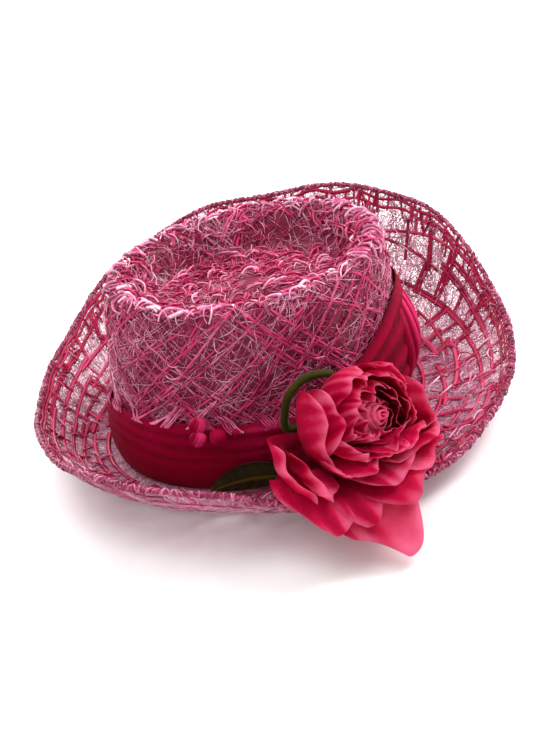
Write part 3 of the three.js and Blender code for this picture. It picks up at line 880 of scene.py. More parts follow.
class Paint(Graph):
    """A material's nodes, round a Principled shader."""

    def __init__(self, name: str) -> None:
        """Makes the material with its shader."""
        self.material = bpy.data.materials.new(name)
        self.material.use_nodes = True
        super().__init__(self.material.node_tree)
        self.nodes.clear()
        self.output = self.nodes.new("ShaderNodeOutputMaterial")
        self.shader = self.nodes.new("ShaderNodeBsdfPrincipled")
        self.links.new(self.shader.outputs[0], self.output.inputs[0])

    def place(self) -> Socket:
        """Object coordinates, in metres."""
        return self.node("ShaderNodeTexCoord").outputs["Object"]

    def noise(self, scale: float, detail: float = 3.0, rough: float = 0.6) -> Socket:
        """Noise over the object, with scale in waves a metre."""
        inputs = {"Vector": self.place(), "Scale": scale, "Detail": detail, "Roughness": rough}
        return self.node("ShaderNodeTexNoise", inputs).outputs["Fac"]

    def attribute(self, name: str) -> Socket:
        """A number kept on the piece's vertices."""
        return self.node("ShaderNodeAttribute", attribute_name=name).outputs["Fac"]

    def math(self, operation: str, a: object, b: object) -> Socket:
        """Works out two numbers or sockets."""
        return self.out("ShaderNodeMath", {0: a, 1: b}, operation=operation)

    def drifted(self, value: Socket, drift: Socket, share: float) -> Socket:
        """A value moved up and down by a share of a noise."""
        swing = self.math("MULTIPLY", self.math("SUBTRACT", drift, 0.5), share)
        return self.math("ADD", value, swing)

    def ramp(self, value: Socket, stops: Sequence[tuple[float, str]]) -> Socket:
        """A colour ramp from stops of place and hex colour."""
        made = self.node("ShaderNodeValToRGB", {0: value})
        band = made.color_ramp
        while len(band.elements) < len(stops):
            band.elements.new(0.5)
        for element, (place, code) in zip(band.elements, stops):
            element.position = place
            element.color = linear(code)
        return made.outputs[0]

    def spread(self, value: Socket, low: float, high: float, to: Pair) -> Socket:
        """Maps a span of values to another, clamped."""
        return self.out(
            "ShaderNodeMapRange",
            {"Value": value, "From Min": low, "From Max": high, "To Min": to[0], "To Max": to[1]},
        )

    def set(self, values: dict[str, object]) -> None:
        """Sets or links the shader's inputs."""
        self.fill(self.shader, values)

    def bump(self, height: Socket, distance: float) -> None:
        """Adds relief. distance is in metres."""
        relief = {"Height": height, "Distance": distance, "Strength": 1.0}
        self.set({"Normal": self.out("ShaderNodeBump", relief)})


@dataclass(frozen=True)
class StrandFinish:
    """Raffia or filament: toned strand by strand, streaked along and shiny, with a painted glint at the
    pale end of its tone.
    """

    name: str
    shade: str
    body: str
    glint: str
    roughness: float
    streaks: float
    relief: float
    coat: float = 0.0

    def make(self) -> Material:
        """Makes the material."""
        paint = Paint(self.name)
        streak = paint.noise(self.streaks, 4.0, 0.7)
        drift = paint.noise(45.0, 2.0)
        tone = paint.math("MULTIPLY", paint.attribute("tone"), 0.55)
        mixed = paint.math("ADD", tone, paint.math("MULTIPLY", streak, 0.45))
        mixed = paint.drifted(mixed, drift, 0.5)
        # The glint colour is a painted highlight, put on strands and streaks at random.
        colour = paint.ramp(mixed, ((0.18, self.shade), (0.5, self.body), (0.82, self.glint)))
        rough = paint.spread(streak, 0.3, 0.7, (self.roughness * 0.7, min(self.roughness * 1.4, 1)))
        paint.set(
            {
                "Base Color": colour,
                "Roughness": rough,
                "Specular IOR Level": 0.3,
                "Coat Weight": self.coat,
                "Coat Roughness": 0.25,
            }
        )
        paint.bump(streak, self.relief)
        return paint.material


@dataclass(frozen=True)
class NetFinish:
    """The fine net behind the filaments: threads with open cells between them."""

    name: str
    shade: str
    thread: str
    cells: float
    open_share: float

    def make(self) -> Material:
        """Makes the material."""
        paint = Paint(self.name)
        wobble = paint.node(
            "ShaderNodeTexNoise", {"Vector": paint.place(), "Scale": 120.0, "Detail": 2.0}
        ).outputs["Color"]
        shifted = paint.out(
            "ShaderNodeVectorMath", {0: wobble, 1: (0.004, 0.004, 0.004)}, operation="MULTIPLY"
        )
        place = paint.out("ShaderNodeVectorMath", {0: paint.place(), 1: shifted}, operation="ADD")
        cells = paint.node(
            "ShaderNodeTexVoronoi",
            {"Vector": place, "Scale": self.cells, "Randomness": 1.0},
            feature="DISTANCE_TO_EDGE",
        ).outputs["Distance"]
        solid = paint.spread(cells, self.open_share * 0.5, self.open_share, (1.0, 0.0))
        broad = paint.noise(70.0, 3.0)
        colour = paint.ramp(broad, ((0.3, self.shade), (0.7, self.thread)))
        paint.set(
            {
                "Base Color": colour,
                "Roughness": 0.45,
                "Alpha": solid,
                "Specular IOR Level": 0.3,
            }
        )
        return paint.material


@dataclass(frozen=True)
class ClothFinish:
    """Chiffon, organza or satin: a fine weave, painted shade in the creases and painted light on the
    crests, and a soft sheen.
    """

    name: str
    deep_shade: str
    body: str
    lit: str
    roughness: float
    sheen: float
    weave: float
    relief: float
    cover: Pair = (1.0, 1.0)
    glints: float = 0.0
    through: float = 0.0

    def make(self) -> Material:
        """Makes the material. The fold attribute runs from 0, in a crease, to 1, on a crest, and carries
        the colour from painted shade to painted light.
        """
        paint = Paint(self.name)
        fold = paint.attribute("fold")
        drift = paint.noise(60.0, 3.0)
        mixed = paint.drifted(fold, drift, 0.45)
        # Painted shade in the creases and painted light on the crests, by the fold attribute.
        colour = paint.ramp(mixed, ((0.05, self.deep_shade), (0.5, self.body), (0.95, self.lit)))
        waves = {"Vector": paint.place(), "Scale": self.weave, "Distortion": 1.2, "Detail": 1.0}
        warp, weft = (
            paint.node("ShaderNodeTexWave", waves, bands_direction=axis).outputs["Fac"]
            for axis in ("X", "Z")
        )
        threads = paint.math("ADD", warp, weft)
        crinkle = paint.noise(260.0, 4.0, 0.65)
        height = paint.math("ADD", paint.math("MULTIPLY", threads, 0.25), crinkle)
        smoothest = max(self.roughness - 0.15 - self.glints, 0.08)
        rough = paint.spread(crinkle, 0.35, 0.65, (smoothest, self.roughness + 0.1))
        paint.set(
            {
                "Base Color": colour,
                "Roughness": rough,
                "Sheen Weight": self.sheen,
                "Sheen Roughness": 0.35,
                "Specular IOR Level": 0.06,
            }
        )
        if self.cover != (1.0, 1.0):
            sheer = paint.spread(threads, 0.4, 1.4, self.cover)
            edge = paint.math("MAXIMUM", sheer, paint.spread(fold, 0.0, 0.5, (1.0, 0.0)))
            paint.set({"Alpha": edge})
        paint.bump(height, self.relief)
        if self.through > 0:
            glow = paint.out("ShaderNodeBsdfTranslucent", {"Color": colour})
            body = paint.shader.outputs[0]
            mixed = paint.out("ShaderNodeMixShader", {0: self.through, 1: body, 2: glow})
            paint.links.new(mixed, paint.output.inputs[0])
        return paint.material


@dataclass(frozen=True)
class Finishes:
    """Every finish of the hat, made once."""

    raffia: Material
    shaded_raffia: Material
    filament: Material
    pale: Material
    ground: Material
    pale_ground: Material
    edge: Material
    chiffon: Material
    organza: Material
    stem: Material
    leaf: Material

    @staticmethod
    def make() -> Finishes:
        """Makes the materials."""
        return Finishes(
            raffia=StrandFinish(
                "raffia", "9a0c40", "c42c66", "f0a0c2", 0.38, 420.0, 0.00025, 0.2
            ).make(),
            # A darker copy of the raffia for the brim: painted shade of strips seen against the light.
            shaded_raffia=StrandFinish(
                "raffia_deep", "80002a", "b20e46", "da4a7a", 0.42, 420.0, 0.00025, 0.1
            ).make(),
            filament=StrandFinish(
                "filament", "8c0a38", "c23468", "f8bcd6", 0.25, 900.0, 0.0001, 0.25
            ).make(),
            # A paler copy of the filament: painted light, for the backlit brim and the crown's crest.
            pale=StrandFinish(
                "pale_filament", "a03c66", "cc749a", "fad4e4", 0.25, 900.0, 0.0001, 0.25
            ).make(),
            # The crown's ground is the net's colour darkened with painted shade of its holes; the brim's
            # pale ground is painted backlight.
            ground=NetFinish("net_ground", "640826", "8e2048", 430.0, 0.55).make(),
            pale_ground=NetFinish("pale_net_ground", "b4587e", "e4a8c4", 900.0, 0.17).make(),
            edge=StrandFinish(
                "edge_raffia", "66102e", "a03058", "e08cb0", 0.42, 500.0, 0.00025, 0.2
            ).make(),
            chiffon=ClothFinish(
                "chiffon", "70001a", "a00034", "e43472", 0.62, 0.02, 900.0, 0.00012, through=0.25
            ).make(),
            organza=ClothFinish(
                "organza", "94002a", "d40e50", "f47aa4", 0.5, 0.04, 700.0, 0.0002, (0.42, 0.85), 0.1, 0.5
            ).make(),
            stem=ClothFinish(
                "stem_satin", "1a1802", "302e06", "565412", 0.5, 0.2, 1200.0, 0.0001
            ).make(),
            leaf=ClothFinish(
                "leaf_satin", "0e0b02", "221a04", "4c4212", 0.5, 0.15, 900.0, 0.00015
            ).make(),
        )


# The hat's fabric


@dataclass
class Fabric:
    """The open fabric of the crown or of the brim: a sheer ground, a filament net and raffia."""

    form: HatForm
    finishes: Finishes
    strand: Tree
    loops: Tree
    random: np.random.Generator
    fine: Pair = (0.00042, 0.00028)
    raffia_thick: float = 0.0005
    stride: float = 0.0045

    def spots(self, skin: Skin, count: int, span: Pair) -> tuple[Array, Array]:
        """Picks places spread evenly over the skin's area.

        Args:
            skin: the surface.
            count: how many places.
            span: the span of the first coordinate.

        Returns:
            The two coordinates of each place.
        """
        us = self.random.uniform(*span, count * 6)
        vs = self.random.uniform(0, 360, count * 6)
        _, along, across, _ = skin.frame(us, vs)
        area = np.linalg.norm(np.cross(along, across), axis=-1)
        kept = self.random.uniform(0, area.max() * 1.0001, len(us)) < area
        us, vs = us[kept], vs[kept]
        while len(us) < count:
            more_u, more_v = self.spots(skin, count, span)
            us, vs = np.concatenate([us, more_u]), np.concatenate([vs, more_v])
        return us[:count], vs[:count]

    def walk(
        self,
        skin: Skin,
        start: tuple[Array, Array],
        heading: Array,
        stride: float,
        steps: int,
        wander: float,
        height: Pair,
    ) -> tuple[Array, Array, Array]:
        """Walks lines over a skin.

        Args:
            skin: the surface.
            start: where each line starts, as two coordinates.
            heading: the direction of each, in radians from the way of u.
            stride: the length of a step in metres.
            steps: how many steps.
            wander: how much the heading changes at each step.
            height: the lowest and highest place over the skin, in metres.

        Returns:
            The lines' points, their normals, and where they are still on the skin.
        """
        u, v = start[0].copy(), start[1].copy()
        turn = heading.copy()
        alive = np.ones(len(u), bool)
        points, normals, lives = [], [], []
        phase = self.random.uniform(0, 2 * np.pi, len(u))
        for step in range(steps + 1):
            place, along, across, normal = skin.frame(u, v)
            wave = 0.5 + 0.5 * np.sin(phase + step * 1.9)
            points.append(place + normal * blend(height[0], height[1], wave)[:, None])
            normals.append(normal)
            lives.append(alive.copy())
            u = u + np.cos(turn) * stride / np.linalg.norm(along, axis=-1)
            v = v + np.sin(turn) * stride / np.linalg.norm(across, axis=-1)
            turn = turn + self.random.normal(0, wander, len(u))
            alive &= (u > skin.low) & (u < skin.high)
            u = np.clip(u, skin.low, skin.high)
        return np.stack(points, 1), np.stack(normals, 1), np.stack(lives, 1)

    def widths(self, low: float, high: float, alive: Array) -> Array:
        """A width share for each line, the same all along it."""
        return np.broadcast_to(self.random.uniform(low, high, len(alive))[:, None], alive.shape)

    def ground(
        self,
        name: str,
        skin: Skin,
        shape: tuple[int, int],
        ends: Pair,
        out: float,
        finish: Material,
    ) -> None:
        """The sheer ground that closes the view between the filaments."""
        u, v = grid(np.linspace(*ends, shape[0]), ring(shape[1], 360))
        piece = grid_mesh(name, skin.raised(u, v, np.full(u.shape, out)), closed=True)
        seat(piece, finish)

    def net(
        self, skin: Skin, count: int, start: float, headings: Sequence[float], steps: int
    ) -> Strands:
        """Long fine filaments that cross in a net, started evenly round the hat."""
        strands = Strands()
        for heading in headings:
            around = (np.arange(count) + self.random.uniform(-0.4, 0.4, count)) * 360.0 / count
            turned = heading + self.random.normal(0, 0.07, count)
            lines, normals, alive = self.walk(
                skin,
                (np.full(count, start), around),
                turned,
                self.stride,
                steps,
                wander=0.05,
                height=(-0.0008, 0.0003),
            )
            radius = self.widths(0.6, 1.3, alive)
            strands.extend(lines, normals, radius, self.random.uniform(0, 1, count), alive)
        return strands

    def threads(
        self,
        skin: Skin,
        count: int,
        ends: Pair,
        headings: Sequence[float],
        spread: float,
        depth: Pair = (-0.0012, 0.0006),
    ) -> Strands:
        """Short fine filaments that lie at random in the net, within a span of its depth."""
        strands = Strands()
        start = self.spots(skin, count, ends)
        heading = self.random.choice(np.array(headings), count) + self.random.normal(0, spread, count)
        lines, normals, alive = self.walk(
            skin, start, heading, self.stride, steps=6, wander=0.22, height=depth
        )
        radius = self.widths(0.6, 1.4, alive)
        strands.extend(lines, normals, radius, self.random.uniform(0, 1, count) ** 0.7, alive)
        return strands

    def laid(
        self,
        name: str,
        strands: Strands,
        size: Pair,
        finish: Material,
        nodes: Iterable[str] = (),
        slot: Slot = Slot.STRAW,
    ) -> None:
        """Turns laid lines into a piece of strands of a width and a thickness, in metres."""
        width, thickness = size
        sides = 3 if width < 0.0006 else 4
        values = {"Width": width, "Thickness": thickness, "Sides": sides, "Material": finish}
        seat(self.strand.run(strands.to_object(name), values), None, nodes)

    def scatter_loops(
        self,
        name: str,
        skin: Skin,
        count: int,
        span: Pair,
        size: Pair,
        finish: Material,
        values: dict[str, object],
    ) -> None:
        """Small standing loops and knots of strand, spread over part of a skin."""
        us, vs = self.spots(skin, count, span)
        place, _, _, normal = skin.frame(us, vs)
        obj = added(name, vertex_mesh(name, place))
        store_ways(obj, "lay", unit(normal + self.random.normal(0, 0.12, normal.shape)))
        store(obj, "size", self.random.uniform(*size, count))
        store(obj, "tone", self.random.uniform(0, 1, count))
        seat(self.loops.run(obj, {"Material": finish, **values}), None)


@dataclass
class Crown(Fabric):
    """The crown's fabric."""

    middle: float = 16.4

    def lattice(self, skin: Skin) -> Strands:
        """Bundles of raffia that cross in both diagonals up the side and over the tip."""
        strands = Strands()
        bundles = 16
        for heading in (0.8, -0.8):
            for index in range(bundles):
                angle = 360 * (index + self.random.uniform(-0.15, 0.15)) / bundles
                self.bundle(strands, skin, (0.05, angle), heading + self.random.normal(0, 0.04), 46)
        for _ in range(44):
            us, vs = self.spots(skin, 1, (8.0, 16.0))
            self.bundle(strands, skin, (float(us[0]), float(vs[0])), self.random.uniform(0, 2 * np.pi), 9)
        return strands

    def bundle(
        self, strands: Strands, skin: Skin, start: Pair, heading: float, steps: int
    ) -> None:
        """Two or three parallel strands laid together, with the same wander."""
        count = int(self.random.integers(2, 4))
        gap = 0.0017
        offset = (np.arange(count) - (count - 1) / 2) * gap
        u0, v0 = np.full(count, start[0]), np.full(count, start[1])
        _, along, across, _ = skin.frame(u0, v0)
        u = u0 - np.sin(heading) * offset / np.linalg.norm(along, axis=-1)
        v = v0 + np.cos(heading) * offset / np.linalg.norm(across, axis=-1)
        u = np.maximum(u, skin.low)
        lines, normals, alive = self.walk(
            skin,
            (u, v),
            np.full(count, heading),
            stride=0.004,
            steps=steps,
            wander=0.03,
            height=(-0.0007, 0.0009),
        )
        radius = self.widths(0.8, 1.25, alive)
        tone = self.random.uniform(0.1, 0.6) + self.random.uniform(-0.1, 0.1, count)
        strands.extend(lines, normals, radius, tone, alive)

    def fringe(self, skin: Skin) -> Strands:
        """Bundles of parallel straw ends that stand just above the band."""
        strands = Strands()
        for angle in np.arange(60.0, 300.0, 7.0):
            angle += self.random.uniform(-2.5, 2.5)
            top = float(self.form.band_top(np.array(angle)))
            low = float(self.form.wall_place(np.array(top - self.random.uniform(2, 5))))
            count = int(self.random.integers(3, 6))
            heading = self.random.choice([-0.75, 0.75]) + self.random.normal(0, 0.12)
            around = angle + np.arange(count) * 1.05
            lines, normals, alive = self.walk(
                skin,
                (np.full(count, low), around),
                heading + self.random.normal(0, 0.04, count),
                stride=0.003,
                steps=int(self.random.integers(5, 9)),
                wander=0.01,
                height=(0.0007, 0.0012),
            )
            over = ease((top + 2.5 - lines[..., 2] / MM) / 4)
            lines = lines + normals * (0.0034 * over)[..., None]
            taper = np.broadcast_to(np.linspace(1.1, 0.7, lines.shape[1]), alive.shape)
            tone = self.random.uniform(0.3, 0.8) + self.random.uniform(-0.1, 0.1, count)
            strands.extend(lines, normals, taper, tone, alive)
        return strands

    def build(self) -> None:
        """Builds and dresses the crown's pieces."""
        whole = self.form.crown_skin()
        skin = Skin(whole.place, 0.02, self.middle)
        fine, raffia = self.finishes.filament, self.finishes.raffia
        # The crown's dark ground: the net with painted shade seen through its holes.
        self.ground("crown_ground", whole, (56, 144), (0.0, 17.0), -0.0016, self.finishes.ground)
        self.laid("crown_net", self.net(skin, 175, 0.05, (0.78, -0.78), 44), self.fine, fine, ["crown"])
        ways = (0.75, -0.75, 0.75, -0.75, 0.0, 1.57)
        loose = self.threads(skin, 3000, (0.05, self.middle), ways, 0.3)
        self.laid("crown_threads", loose, self.fine, fine)
        self.laid("crown_raffia", self.lattice(skin), (0.0017, self.raffia_thick), raffia)
        self.laid("crown_fringe", self.fringe(skin), (0.0012, self.raffia_thick), raffia)
        loop = {"Length": 0.009, "Rise": 0.0022, "Width": 0.0016, "Thickness": 0.0006, "Steps": 6}
        crest = {"Width": 0.0022, "Rise": 0.0014, "Seed": 13}
        side = {"Width": 0.0011, "Rise": 0.0014, "Seed": 12}
        for name, count, span, size, finish, own in (
            ("crown_tip_loops", 330, (7.2, 16.2), (0.6, 1.35), raffia, {"Seed": 11}),
            ("crown_pale_loops", 330, (7.2, 16.2), (0.6, 1.35), fine, {"Seed": 14}),
            # The crest's loops take the paler filament: a painted highlight along the ridge.
            ("crown_crest_highlight_loops", 240, (6.8, 9.4), (0.7, 1.4), self.finishes.pale, crest),
            ("crown_side_loops", 260, (2.5, 8.0), (0.5, 1.0), fine, side),
        ):
            self.scatter_loops(name, skin, count, span, size, finish, {**loop, **own})


@dataclass
class Brim(Fabric):
    """The brim's fabric and its rolled, wired edge."""

    strip: float = 1.35
    roll_out: float = 1.4
    roll_sides: int = 10

    def lattice(self, skin: Skin) -> Strands:
        """Raffia in staggered squares: arcs round the brim and ribs between them."""
        strands = Strands()
        levels = (-0.02, 0.2, 0.4, 0.59, 0.76, 0.9)
        for level in levels:
            for start in np.arange(0.0, 360.0, 24.0):
                angles = start + self.random.uniform(-5, 5) + np.arange(0.0, 27.0, 1.5)
                tilt = self.random.normal(0, 0.03) * np.linspace(-1, 1, len(angles))
                shift = self.random.normal(0, 0.025)
                for lane in range(1 + int(self.random.uniform() < 0.3)):
                    self.lay(strands, skin, level + shift + lane * 0.022 + tilt, angles, self.strip)
        for low, high in zip(levels, levels[1:]):
            count = int(30 + 14 * low)
            for index in range(count):
                angle = 360 * (index + self.random.uniform(-0.3, 0.3)) / count
                u = np.linspace(low - 0.03, high + 0.03, 7)
                lean = self.random.normal(0, 1.6) * np.linspace(0, 1, 7)
                for lane in range(1 + int(self.random.uniform() < 0.3)):
                    self.lay(strands, skin, u, angle + lane * 1.2 + lean, self.strip)
        return strands

    def border(self, skin: Skin) -> Strands:
        """The dense raffia beside the edge: strips along it and short ends across it."""
        strands = Strands()
        for level in (0.955, 0.985):
            for start in np.arange(0.0, 360.0, 30.0):
                angles = start + self.random.uniform(-4, 4) + np.arange(0.0, 36.0, 1.2)
                wobble = 0.008 * np.sin(np.radians(angles * 29 + level * 900 + start))
                self.lay(strands, skin, np.clip(level + wobble, 0, 0.998), angles, self.strip)
        for angle in self.random.uniform(0, 360, 300):
            low = self.random.uniform(0.84, 0.95)
            u = np.linspace(low, min(low + 0.09, 0.998), 4)
            self.lay(strands, skin, u, angle + self.random.normal(0, 1.2) * np.linspace(0, 1, 4), 1.0)
        return strands

    def wraps(self) -> Strands:
        """Raffia wound over the edge, in uneven leaning turns."""
        strands = Strands()
        count = 620
        degrees = np.arange(count) * 360.0 / count + self.random.uniform(-0.3, 0.3, count)
        centre, outward, way, over = self.edge_axes(degrees)
        for index in range(count):
            sweep = np.linspace(-2.9, 2.9, 9)
            radius = self.form.edge_radius * self.random.uniform(0.68, 1.05)
            lean = self.random.normal(0, 1.5) * sweep
            lift = np.cos(sweep)[:, None] * outward[index] + np.sin(sweep)[:, None] * over[index]
            line = centre[index] + radius * lift + lean[:, None] * way[index]
            share = float(self.random.uniform(0.4, 1.1))
            strands.add(self.form.in_row(line), lift, share, float(self.random.uniform(0.1, 0.8)))
        return strands

    def edge_axes(self, degrees: Array) -> tuple[Array, Array, Array, Array]:
        """The roll's middle at plan angles, and the ways out of the edge, along and over it."""
        middle, outward = self.form.rim(degrees)
        after, _ = self.form.rim(degrees + 0.5)
        before, _ = self.form.rim(degrees - 0.5)
        way = unit(after - before)
        return middle + outward * self.roll_out, outward, way, unit(np.cross(outward, way))

    def lay(self, strands: Strands, skin: Skin, u: Array, v: Array, share: float) -> None:
        """Lays one strand along given coordinates. share is its width against the usual one."""
        u, v = np.broadcast_arrays(np.asarray(u, float), np.asarray(v, float))
        place, _, _, normal = skin.frame(u, v)
        width = share * float(self.random.uniform(0.75, 1.2))
        tone = float(self.random.uniform(0.1, 0.9))
        strands.add(place + normal * self.random.uniform(0.0001, 0.0008), normal, width, tone)
        if self.random.uniform() < 0.4:
            strands.add(place - normal * 0.0015, normal, width, tone)

    def roll(self) -> Object:
        """The rolled edge over its wire."""
        degrees = np.arange(0.0, 360.0, 1.0)
        centre, outward, _, over = self.edge_axes(degrees)
        ripples = 0.05 * np.sin(np.radians(degrees * 61))
        rings = []
        for angle in ring(self.roll_sides):
            swell = 0.86 + 0.08 * np.sin(np.radians(degrees * 37) + angle) + ripples
            radius = (0.72 * self.form.edge_radius * swell)[:, None]
            rings.append(centre + radius * (outward * math.cos(angle) + over * math.sin(angle)))
        piece = grid_mesh("brim_roll", self.form.in_row(np.stack(rings, 1)), closed=True)
        return self.close_ring(piece)

    def close_ring(self, obj: Object) -> Object:
        """Joins the first row of a grid to its last with faces."""
        mesh = obj.data
        count = self.roll_sides
        rows = len(mesh.vertices) // count
        polygons = [list(p.vertices) for p in mesh.polygons]
        last = (rows - 1) * count
        for j in range(count):
            k = (j + 1) % count
            polygons.append([last + j, last + k, k, j])
        points = [v.co[:] for v in mesh.vertices]
        fresh = bpy.data.meshes.new(mesh.name)
        fresh.from_pydata(points, [], polygons)
        fresh.polygons.foreach_set("use_smooth", [True] * len(fresh.polygons))
        fresh.update()
        obj.data = fresh
        bpy.data.meshes.remove(mesh)
        return obj

    def build(self) -> None:
        """Builds and dresses the brim's pieces."""
        skin = self.form.brim_skin()
        # The brim's filaments take the paler copy: painted backlight on its net, threads and half its
        # loops.
        fine = self.finishes.pale
        ends = (0.01 - self.form.seat_share, 1.0)
        # The brim's pale ground: painted backlight through the net.
        self.ground("brim_ground", skin, (26, 300), ends, -0.0012, self.finishes.pale_ground)
        self.laid("brim_net", self.net(skin, 310, -0.15, (0.12, -0.12), 26), self.fine, fine, ["brim"])
        ways = (0.0, 1.57, 1.57, 0.7, -0.7)
        for name, count, depth in (
            ("brim_threads", 2300, (-0.0012, 0.0006)),
            ("brim_under_threads", 1400, (-0.0022, -0.001)),
        ):
            loose = self.threads(skin, count, (-0.1, 0.99), ways, 0.35, depth)
            self.laid(name, loose, (0.00045, 0.0003), fine)
        # The brim's raffia is the darker copy: painted shade of backlit strips.
        raffia = self.finishes.shaded_raffia
        self.laid("brim_raffia", self.lattice(skin), (0.0021, self.raffia_thick), raffia)
        loop = {"Length": 0.012, "Rise": 0.0016, "Width": 0.0015, "Thickness": 0.0005, "Steps": 6}
        for name, finish, seed in (
            ("brim_loops", self.finishes.raffia, 21),
            ("brim_pale_loops", fine, 22),
        ):
            own = {**loop, "Seed": seed}
            self.scatter_loops(name, skin, 340, (0.03, 0.97), (0.5, 1.2), finish, own)
        roll = self.roll()
        store(roll, "tone", self.random.uniform(0, 0.8, len(roll.data.vertices)))
        seat(roll, self.finishes.edge, ["brim_edge"])
        wound = (0.0016, self.raffia_thick)
        self.laid("brim_border", self.border(skin), wound, raffia, slot=Slot.EDGE)
        self.laid("edge_wraps", self.wraps(), wound, self.finishes.edge, slot=Slot.EDGE)


# Band, knot and button


@dataclass
class Band:
    """The pleated chiffon band, its gathered folds, its knot, button and bead."""

    form: HatForm
    finishes: Finishes
    folds: float = 5.0
    depth: float = 3.0
    gather_angle: float = 14.0
    gather_half: float = 15.0
    knot_angle: float = 119.0
    wall: float = 0.0003

    def fold_wave(self, share: Array, degrees: Array) -> Array:
        """How far a place of the band is up its fold, from 0, in a crease, to 1, on a crest."""
        angle = np.radians(degrees)
        slack = np.sin(np.pi * np.clip(share, 0, 1))
        sway = 0.55 * np.sin(angle + 0.4) + 0.35 * np.sin(angle * 2 + 0.6) + 0.22 * np.sin(angle * 3 + 2.0)
        drift = 0.3 * np.sin(2.2 * angle + 5.0 * share) + 0.16 * np.sin(5 * angle + 9.0 * share)
        phase = np.pi * (self.folds * share**1.5 + (sway + drift) * slack)
        crest = np.sin(phase) ** 2
        weight = (0.4 + 0.6 * share) * (0.7 + 0.3 * np.sin(2.0 * angle + 3.0 * share + 1.0))
        fine = np.abs(np.sin(phase * 2.3 + 1.7 * np.sin(angle * 3 + 6 * share)))
        return np.clip(crest * weight + 0.1 * fine, 0, 1)

    def cloth(self) -> Object:
        """The band round the crown."""
        share, degrees = grid(np.linspace(0, 1, 56), ring(240, 360))
        wave = self.fold_wave(share, degrees)
        full = BAND.read("full", degrees) * self.form.band_full
        body = np.sin(np.pi * np.clip(share * 0.94 + 0.03, 0, 1)) ** 0.55
        front = 0.5 + 0.5 * np.cos(np.radians(degrees - 30))
        relief = self.depth * (0.1 + 0.9 * ease(front * 2.4 - 1.3))
        knot = np.exp(-(((degrees - self.knot_angle + 4) / 9.0) ** 2))
        middle = np.exp(-(((share - 0.6) / 0.3) ** 2))
        out = self.form.band_ease + 0.4 + (1.3 + full) * body + relief * wave * body**0.5
        out = out - 2.2 * knot * body * middle
        draw = 0.12 * knot * (0.6 - share) * middle
        height = blend(self.form.crown_foot + 0.2, self.form.band_top(degrees), share + draw)
        height = height + 1.2 * np.sin(np.radians(degrees * 5)) * (share > 0.5) * body
        points = self.form.in_row(self.form.off_crown(height, degrees, out))
        piece = grid_mesh("band_cloth", points, closed=True)
        # Painted shade in the creases and painted light on the crests, flatter where the relief is low.
        store(piece, "fold", 0.34 + (wave - 0.34) * (0.22 + 0.78 * relief / self.depth))
        return thicken(piece, self.wall)

    def gathers(self) -> Object:
        """The upright folds where the band is drawn together."""
        share, across = grid(np.linspace(0, 1, 40), np.linspace(-1, 1, 90))
        degrees = self.gather_angle + across * self.gather_half
        height = blend(12.0, 76.0, share)
        waist = 0.45 + 0.55 * np.sin(np.pi * np.clip(share, 0.06, 0.94))
        sway = 0.18 * np.sin(np.pi * 2 * share + 0.4)
        wave = np.abs(np.cos(np.pi * (2.5 * across + sway))) ** 0.8
        dome = np.sqrt(np.clip(1 - across**2, 0, 1))
        full = BAND.read("full", degrees) * self.form.band_full
        base = self.form.band_ease + self.form.band_wall + full + 1.4
        ends = np.sin(np.pi * np.clip(share * 0.97 + 0.015, 0, 1)) ** 0.45
        out = 0.6 + (3.2 + (base - 4.0 + 5.5 * waist * (0.45 + 0.55 * wave)) * dome**0.7) * ends
        points = self.form.in_row(self.form.off_crown(height, degrees, out))
        piece = grid_mesh("band_gathers", points)
        # Painted light on the folds' crests, painted shade in their creases and where their sides tuck
        # under.
        store(piece, "fold", wave * dome)
        return thicken(piece, self.wall)

    @staticmethod
    def ball(node: str, rows: int, columns: int) -> tuple[Array, Array, Array, Array]:
        """The middle and half size of a solid's box, and angles from a pole and round it."""
        low, high = (np.array(corner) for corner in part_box(node))
        polar, around = grid(np.linspace(0, np.pi, rows), ring(columns))
        return (low + high) / 2, (high - low) / 2, polar, around

    def lobe(self, name: str, node: str, lean: float) -> Object:
        """A soft crumpled lobe of the knot, where its solid is."""
        middle, half, polar, around = self.ball(node, 33, 64)
        pleat = 0.5 + 0.5 * np.sin(2 * around + lean + 1.2 * np.cos(polar))
        dent = np.sin(2 * around + lean * 3) * np.sin(2 * polar + lean)
        crumple = np.abs(np.sin(5 * around - 4 * polar + lean * 5))
        rim = np.sin(polar)
        radius = 0.9 + 0.08 * pleat * rim + 0.1 * dent + 0.06 * crumple * rim
        round_about = (rim * np.cos(around) * radius, rim * np.sin(around) * radius)
        places = np.stack([*round_about, -np.cos(polar)], -1)
        piece = grid_mesh(name, middle + places * half * (1, 1, 1.3), closed=True)
        # Painted light on the pleats' crests and crumples, painted shade between them.
        store(piece, "fold", np.clip(0.15 + 0.6 * pleat + 0.3 * crumple, 0, 1))
        return piece

    def button(self, name: str, node: str) -> Object:
        """A covered ball, gathered to its back."""
        middle, half, polar, around = self.ball(node, 25, 40)
        radius = 1 - 0.05 * np.abs(np.sin(5 * around)) * np.clip(np.cos(polar), 0, 1)
        rim = np.sin(polar)
        places = np.stack([np.cos(polar), rim * np.cos(around), rim * np.sin(around)], -1)
        piece = grid_mesh(name, middle + places * half * radius[..., None], closed=True)
        store(piece, "fold", np.full(polar.shape, 0.5))
        return piece

    def build(self) -> None:
        """Builds and dresses the band's pieces."""
        chiffon = self.finishes.chiffon
        cloth = seat(self.cloth(), chiffon, ["hat_band"])
        gathers = seat(self.gathers(), chiffon, ["band_gather"])
        for name, node, lean in (
            ("knot_upper", "knot_lobe_upper", 0.3),
            ("knot_lower", "knot_lobe_lower", 1.1),
        ):
            piece = seat(self.lobe(name, node, lean), chiffon, [node])
        seat(self.button("covered_button", "band_button"), chiffon, ["band_button"])
        seat(self.button("covered_bead", "band_bead"), chiffon, ["band_bead"])


# Rose, stem and leaf


